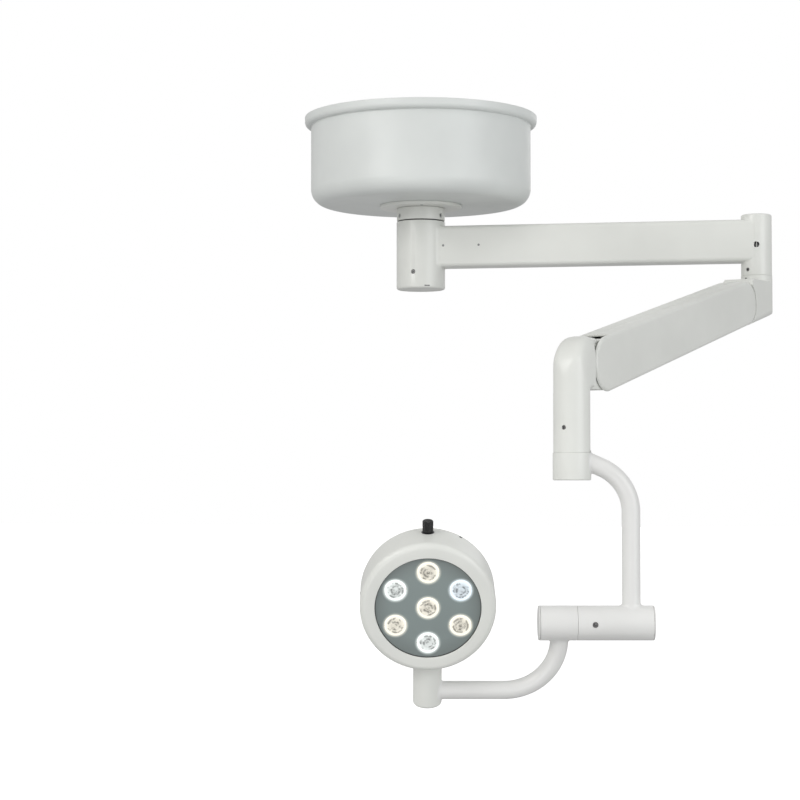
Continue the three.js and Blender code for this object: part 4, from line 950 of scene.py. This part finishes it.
def build_upper_tube():
    """From the collar under the yoke down to the fixed half of the cross tube."""
    top = YOKE_BOTTOM - 0.2
    collar = lathe([
        (0, SWIVEL_BOTTOM),
        (SWIVEL_RADIUS, SWIVEL_BOTTOM, 2.4),
        (SWIVEL_RADIUS, top, 0.6),
        (SWIVEL_SHAFT, top),
        (SWIVEL_SHAFT, SWIVEL_SHAFT_TOP, 1),
        (0, SWIVEL_SHAFT_TOP),
    ], 144)
    painted("swivel_collar_skin", collar, TUBES, "upper_tube", ["swivel_collar"])
    slope = math.radians(UPPER_SLOPE)
    downhill = Vector((math.cos(slope), 0, -math.sin(slope)))
    centre = (UPPER_LEG_X - UPPER_BEND, UPPER_BEND_Z)
    first = Vector((centre[0] + UPPER_BEND * math.sin(slope), 0, centre[1] + UPPER_BEND * math.cos(slope)))
    start = first - downhill * 22
    end = Vector((UPPER_LEG_X, 0, CROSS_Z + CROSS_RADIUS - 3))
    stations = bend_stations(start, centre, UPPER_BEND, 90 - UPPER_SLOPE, 0, end)
    tube = sweep(stations, TUBE_RADIUS)
    painted("upper_tube_skin", tube, TUBES, "upper_tube", ["upper_bent_tube"], tube_paint_painted_lighter)
    bar = (Vector((0, 0, 0)), Z, SWIVEL_RADIUS)
    tube_weld("collar_weld", start, downhill, bar, END_WELD, TUBES, "upper_tube")
    right = CROSS_RIGHT - CROSS_CAP - 0.1
    sleeve = moved(lathe([
        (FIXED_BORE, CROSS_SEAM + PAINT_GAP),
        (CROSS_RADIUS, CROSS_SEAM + PAINT_GAP, 0.7),
        (CROSS_RADIUS, right, 0.3),
        (FIXED_BORE, right),
    ], 144), TO_X)
    aim = shift(CROSS_SCREW_X) @ turn(-90, "Z") @ turn(CROSS_SCREW_DROP, "Y") @ TO_X
    hole = drill(SCREW_HOLE, aim, 5)
    sleeve = bevelled(combine("DIFFERENCE", sleeve, hole), 0.35, 50, 2)
    cross = TUBES @ shift(0, 0, CROSS_Z)
    painted("fixed_sleeve_skin", sleeve, cross, "upper_tube", ["fixed_sleeve"], tube_paint_painted_lighter)
    leg = Vector((UPPER_LEG_X, 0, 0))
    tube_weld("sleeve_weld", leg, Z, (Vector(), X, CROSS_RADIUS), CROSS_WELD, cross, "upper_tube")
    cap = moved(cylinder(CROSS_RADIUS, right + 0.3, CROSS_RIGHT, 1.2, 144), TO_X)
    painted("fixed_sleeve_end", cap, cross, "upper_tube", ["fixed_sleeve_cap"], tube_paint_painted_lighter)
    at = cross @ aim @ shift(0, 0, CROSS_RADIUS - 1)
    screw = socket_screw(4, 10, 2.1)
    piece("sleeve_screw", screw, at, "upper_tube", "dark_steel", ["sleeve_brake_screw"], worn_steel)


def build_lower_tube():
    """From the turning half of the cross tube down and across to the socket of the head."""
    left = CROSS_LEFT + CROSS_CAP + 0.1
    sleeve = moved(lathe([
        (PIVOT_BORE, left),
        (CROSS_RADIUS, left, 0.3),
        (CROSS_RADIUS, CROSS_SEAM, 0.7),
        (PIVOT_BORE, CROSS_SEAM),
    ], 144), TO_X)
    painted("pivot_sleeve_skin", sleeve, TILT, "lower_tube", ["pivot_sleeve"], tube_paint_painted_lighter)
    cap = moved(cylinder(CROSS_RADIUS, CROSS_LEFT, left - PAINT_GAP, 1.2, 144), TO_X)
    painted("pivot_sleeve_end", cap, TILT, "lower_tube", ["pivot_sleeve_cap"], tube_paint_painted_lighter)
    centre = (LOWER_LEG_X - LOWER_BEND, LOWER_BEND - LOWER_DROP)
    start = Vector((LOWER_LEG_X, 0, 3 - CROSS_RADIUS))
    end = Vector((SOCKET_X + SOCKET_RADIUS - 3, 0, -LOWER_DROP))
    tube = sweep(bend_stations(start, centre, LOWER_BEND, 0, -90, end), TUBE_RADIUS)
    painted("lower_tube_skin", tube, TILT, "lower_tube", ["lower_bent_tube"], tube_paint_painted_lighter)
    leg = Vector((LOWER_LEG_X, 0, 0))
    tube_weld("pivot_weld", leg, -Z, (Vector(), X, CROSS_RADIUS), CROSS_WELD, TILT, "lower_tube")
    foot = Vector((SOCKET_X, 0, -LOWER_DROP))
    tube_weld("socket_weld", foot, X, (foot, Z, SOCKET_RADIUS), END_WELD, TILT, "lower_tube")
    top = SOCKET_TOP - PAINT_GAP
    socket = lathe([
        (0, SOCKET_BOTTOM),
        (SOCKET_RADIUS, SOCKET_BOTTOM, 5),
        (SOCKET_RADIUS, top, 0.5),
        (SOCKET_BORE, top),
        (SOCKET_BORE, SOCKET_BOTTOM + SOCKET_FLOOR),
        (0, SOCKET_BOTTOM + SOCKET_FLOOR),
    ], 144)
    painted("head_socket_skin", socket, TILT @ shift(SOCKET_X), "lower_tube", ["head_socket"])


# ---- head


def stem_mesh():
    """A round flange whose top follows the wall of the head, and the stem below it."""
    sides = 96
    low = SOCKET_TOP - HEAD_RISE

    def on_wall(radius):
        wall = HEAD_RADIUS + 0.15
        return [Vector((p.x, p.y, -math.sqrt(wall**2 - p.x**2))) for p in circle(radius, 0, sides)]

    return loft([
        circle(STEM_RADIUS, SOCKET_BOTTOM + SOCKET_FLOOR + 4 - HEAD_RISE, sides),
        circle(STEM_RADIUS, low, sides),
        circle(SOCKET_RADIUS - 0.6, low, sides),
        circle(SOCKET_RADIUS, low + 0.6, sides),
        on_wall(SOCKET_RADIUS),
        on_wall(SOCKET_RADIUS - 4),
    ])


def knob_mesh():
    """A fluted knob with a chamfered crown and a shallow recess on top."""
    angles = around(12 * KNOB_RIBS)

    def fluted(radius, depth, z):
        reach = [radius - depth * (0.5 + 0.5 * math.cos(KNOB_RIBS * a)) ** 0.7 for a in angles]
        return [Vector((r * math.cos(a), r * math.sin(a), z)) for r, a in zip(reach, angles)]

    return loft([
        fluted(6.9, 0, 0.5), fluted(7.6, 0, 0.5), fluted(7.9, 0.1, 0.9), fluted(7.95, 0.2, 3),
        fluted(KNOB_RADIUS, 0.9, 3.6), fluted(KNOB_RADIUS, 0.9, KNOB_HEIGHT - 1.6),
        fluted(7.5, 0.5, KNOB_HEIGHT - 0.7), fluted(6.9, 0.15, KNOB_HEIGHT - 0.15),
        fluted(6.3, 0, KNOB_HEIGHT), fluted(5.4, 0, KNOB_HEIGHT),
        fluted(5.0, 0, KNOB_HEIGHT - 0.5), [Vector((0, 0, KNOB_HEIGHT - 0.6))],
    ])


def build_head():
    """The round housing with its window, lenses and knob; lathed outlines run in the dish frame."""
    painted("stem_flange", stem_mesh(), HEAD, "head", ["head_stem"])
    back = HEAD_DEPTH - 2.3
    inner = HEAD_RADIUS - HEAD_WALL
    shell = lathe([
        (WINDOW_RADIUS, 0, 0.9),
        (HEAD_RADIUS, 0, HEAD_FILLET),
        (HEAD_RADIUS, back, 0.5),
        (inner, back, 0.5),
        (inner, HEAD_WALL, HEAD_FILLET - HEAD_WALL),
        (WINDOW_RADIUS, HEAD_WALL, 0.3),
    ], 256, 12)
    knob_at = HEAD @ shift(0, HEAD_FRONT + KNOB_DEPTH, HEAD_RADIUS)
    hole = drill(SCREW_HOLE, DISH.inverted() @ knob_at, -15, 15)
    shell = combine("DIFFERENCE", shell, hole)
    painted("head_shell", shell, DISH, "head", ["head_housing"])
    skirt, face = inner - 0.4, HEAD_DEPTH - 2
    cover = lathe([
        (0, HEAD_DEPTH), (60, HEAD_DEPTH), (64, HEAD_DEPTH - 0.8, 2), (82, HEAD_DEPTH - 0.8, 2),
        (86, HEAD_DEPTH, 1), (HEAD_RADIUS - 0.6, HEAD_DEPTH, 1.6), (HEAD_RADIUS - 0.6, face, 0.2),
        (skirt, face), (skirt, face - 10), (skirt - 2.6, face - 10), (skirt - 2.6, face - 1),
        (0, face - 1),
    ], 192)
    painted("head_back", cover, DISH, "head", ["rear_cover"])
    plate = lathe([
        (0, PANEL_DEPTH),
        (PANEL_RADIUS, PANEL_DEPTH, 0.2),
        (PANEL_RADIUS, PANEL_DEPTH + PANEL_THICKNESS, 0.2),
        (0, PANEL_DEPTH + PANEL_THICKNESS),
    ], 192)
    holes = [drill(LENS_RADIUS + 0.5, shift(x, -z), -5, 20) for x, z in lens_places]
    plate = bevelled(combine("DIFFERENCE", plate, *holes), 0.3, 50, 2)
    piece("lens_plate", plate, DISH, "head", "grey_panel", ["lens_panel"])
    gasket = lathe([
        (WINDOW_RADIUS - 0.9, 2.2, 0.3),
        (WINDOW_RADIUS - 0.1, 2.2, 0.2),
        (WINDOW_RADIUS - 0.1, PANEL_DEPTH - 0.05),
        (WINDOW_RADIUS - 0.9, PANEL_DEPTH - 0.05),
    ], 192, 3)
    piece("window_gasket", gasket, DISH, "head", "nylon")
    for index, (x, z) in enumerate(lens_places):
        optic = lathe([
            (0, 1.9), (3.2, 2.3, 0.8), (4.3, 3.3, 0.5), (6.2, 2.5, 0.6), (8.2, 3.3, 0.5),
            (10.4, 2.4, 0.6), (12.6, 3.2, 0.5), (14, 2.2, 0.4), (15.4, 2.4, 0.6),
            (LENS_RADIUS, 4, 0.6), (LENS_RADIUS, 6.5, 0.5), (9, LENS_BACK, 0.8), (0, LENS_BACK),
        ], 96, 4)
        material = lit_lens(index, LED_TINTS[index])
        name = f"optic_{index + 1}"
        piece(name, optic, DISH @ shift(x, -z), "head", "clear_lens", [f"led_lens_{index + 1}"], material)
    for number in range(HOUSING_SCREWS):
        angle = HOUSING_SCREW_ANGLE - 90 + 360 / HOUSING_SCREWS * number
        at = DISH @ radial(Matrix(), angle, HOUSING_SCREW_DEPTH, HEAD_RADIUS)
        piece(f"housing_screw_{number + 1}", pan_screw(2.4, 0.7), at, "head", "dark_steel")
    base = lathe([(4, 0), (9.6, 0, 0.2), (9.6, 0.5, 0.3), (4, 0.5)], 72, 3)
    piece("knob_washer", base, knob_at @ shift(0, 0, 0.02), "head", "dark_steel")
    piece("knob", knob_mesh(), knob_at @ shift(0, 0, 0.5), "dimmer_knob", "black_plastic", ["dimmer_knob"])


# ---- carried-over CAD nodes


def dress_inner_nodes():
    """The mechanism inside keeps its CAD shape and gets its finish."""
    for part in frame["record"]["subparts"]:
        node = frame["nodes"][part["node"]]
        if node.hide_render:
            continue
        node.data.materials.clear()
        node.data.materials.append(FINISHES[part["material_slot"]])


# ---- stage


def soft_box(name, location, target, size, power, tint=(1, 1, 1)):
    light = bpy.data.lights.new(name, "AREA")
    light.shape = "RECTANGLE"
    light.size, light.size_y = size
    light.energy = power
    light.color = tint
    item = in_scene(name, light)
    item.location = location
    item.rotation_euler = (Vector(target) - Vector(location)).to_track_quat("-Z", "Y").to_euler()
    item.visible_camera = False


def build_stage():
    """A pale floor well below the head, a surround that is brighter above, and four soft lamps."""
    scene = bpy.context.scene
    scene.view_settings.view_transform = "Standard"
    world = bpy.data.worlds.new("studio")
    scene.world = world
    world.use_nodes = True
    tree = world.node_tree
    surround = tree.nodes["Background"]
    direction = tree.nodes.new("ShaderNodeTexCoord").outputs["Generated"]
    height = tree.nodes.new("ShaderNodeSeparateXYZ")
    ramp = tree.nodes.new("ShaderNodeMapRange")
    for socket, value in (("From Min", -1), ("From Max", 0.7), ("To Min", 0.42), ("To Max", 0.6)):
        ramp.inputs[socket].default_value = value
    seen = tree.nodes.new("ShaderNodeBackground")
    seen.inputs["Strength"].default_value = 1.0
    path = tree.nodes.new("ShaderNodeLightPath")
    mix = tree.nodes.new("ShaderNodeMixShader")
    for background in (surround, seen):
        background.inputs["Color"].default_value = (1, 1, 1, 1)
    link = tree.links.new
    link(direction, height.inputs[0])
    link(height.outputs["Z"], ramp.inputs["Value"])
    link(ramp.outputs[0], surround.inputs["Strength"])
    link(path.outputs["Is Camera Ray"], mix.inputs[0])
    link(surround.outputs[0], mix.inputs[1])
    link(seen.outputs[0], mix.inputs[2])
    link(mix.outputs[0], tree.nodes["World Output"].inputs["Surface"])

    bm = bmesh.new()
    bmesh.ops.create_grid(bm, x_segments=4, y_segments=4, size=60)
    floor = made("floor", bm)
    floor.location.z = cad_box[0].z - 1.2
    shader = Shader("pale_floor")
    shade = shader.remap(shader.noise(0.8, 2), 0.3, 0.7, 0, 1)
    shader.set("Base Color", shader.blend(shade, (0.86, 0.86, 0.855), (0.9, 0.9, 0.895)))
    shader.set("Roughness", 0.8)
    shader.set("Emission Color", (1, 1, 1))
    shader.set("Emission Strength", 0.75)
    floor.data.materials.append(shader.material)
    floor.visible_diffuse = False
    floor.visible_glossy = False

    soft_box("key", (-1.9, -3.2, 1.1), (0.2, -0.3, -0.4), (1.8, 1.8), 49, (1, 0.99, 0.97))
    soft_box("fill", (3.2, -2.2, 0.1), (0.3, -0.3, -0.4), (2.2, 2.2), 38, (0.97, 0.985, 1))
    soft_box("back", (0.6, 3.2, 0.8), (0.3, 0, -0.4), (2.4, 1.6), 8)
    soft_box("low", (-0.3, -3.3, -1.7), (0.1, -0.6, -0.8), (1.8, 1.0), 15)


def build_camera():
    camera = bpy.data.cameras.new("camera")
    camera.lens = 92.25
    camera.clip_end = 200
    item = in_scene("camera", camera)
    item.location = (0.621, -3.745, -0.668)
    item.rotation_euler = (math.radians(92.15), 0, math.radians(10))
    bpy.context.scene.camera = item


# ---- the whole scene

build_mount()
build_arm()
build_knuckle()
build_spring_arm()
build_yoke()
build_upper_tube()
build_lower_tube()
build_head()
dress_inner_nodes()
build_stage()
build_camera()
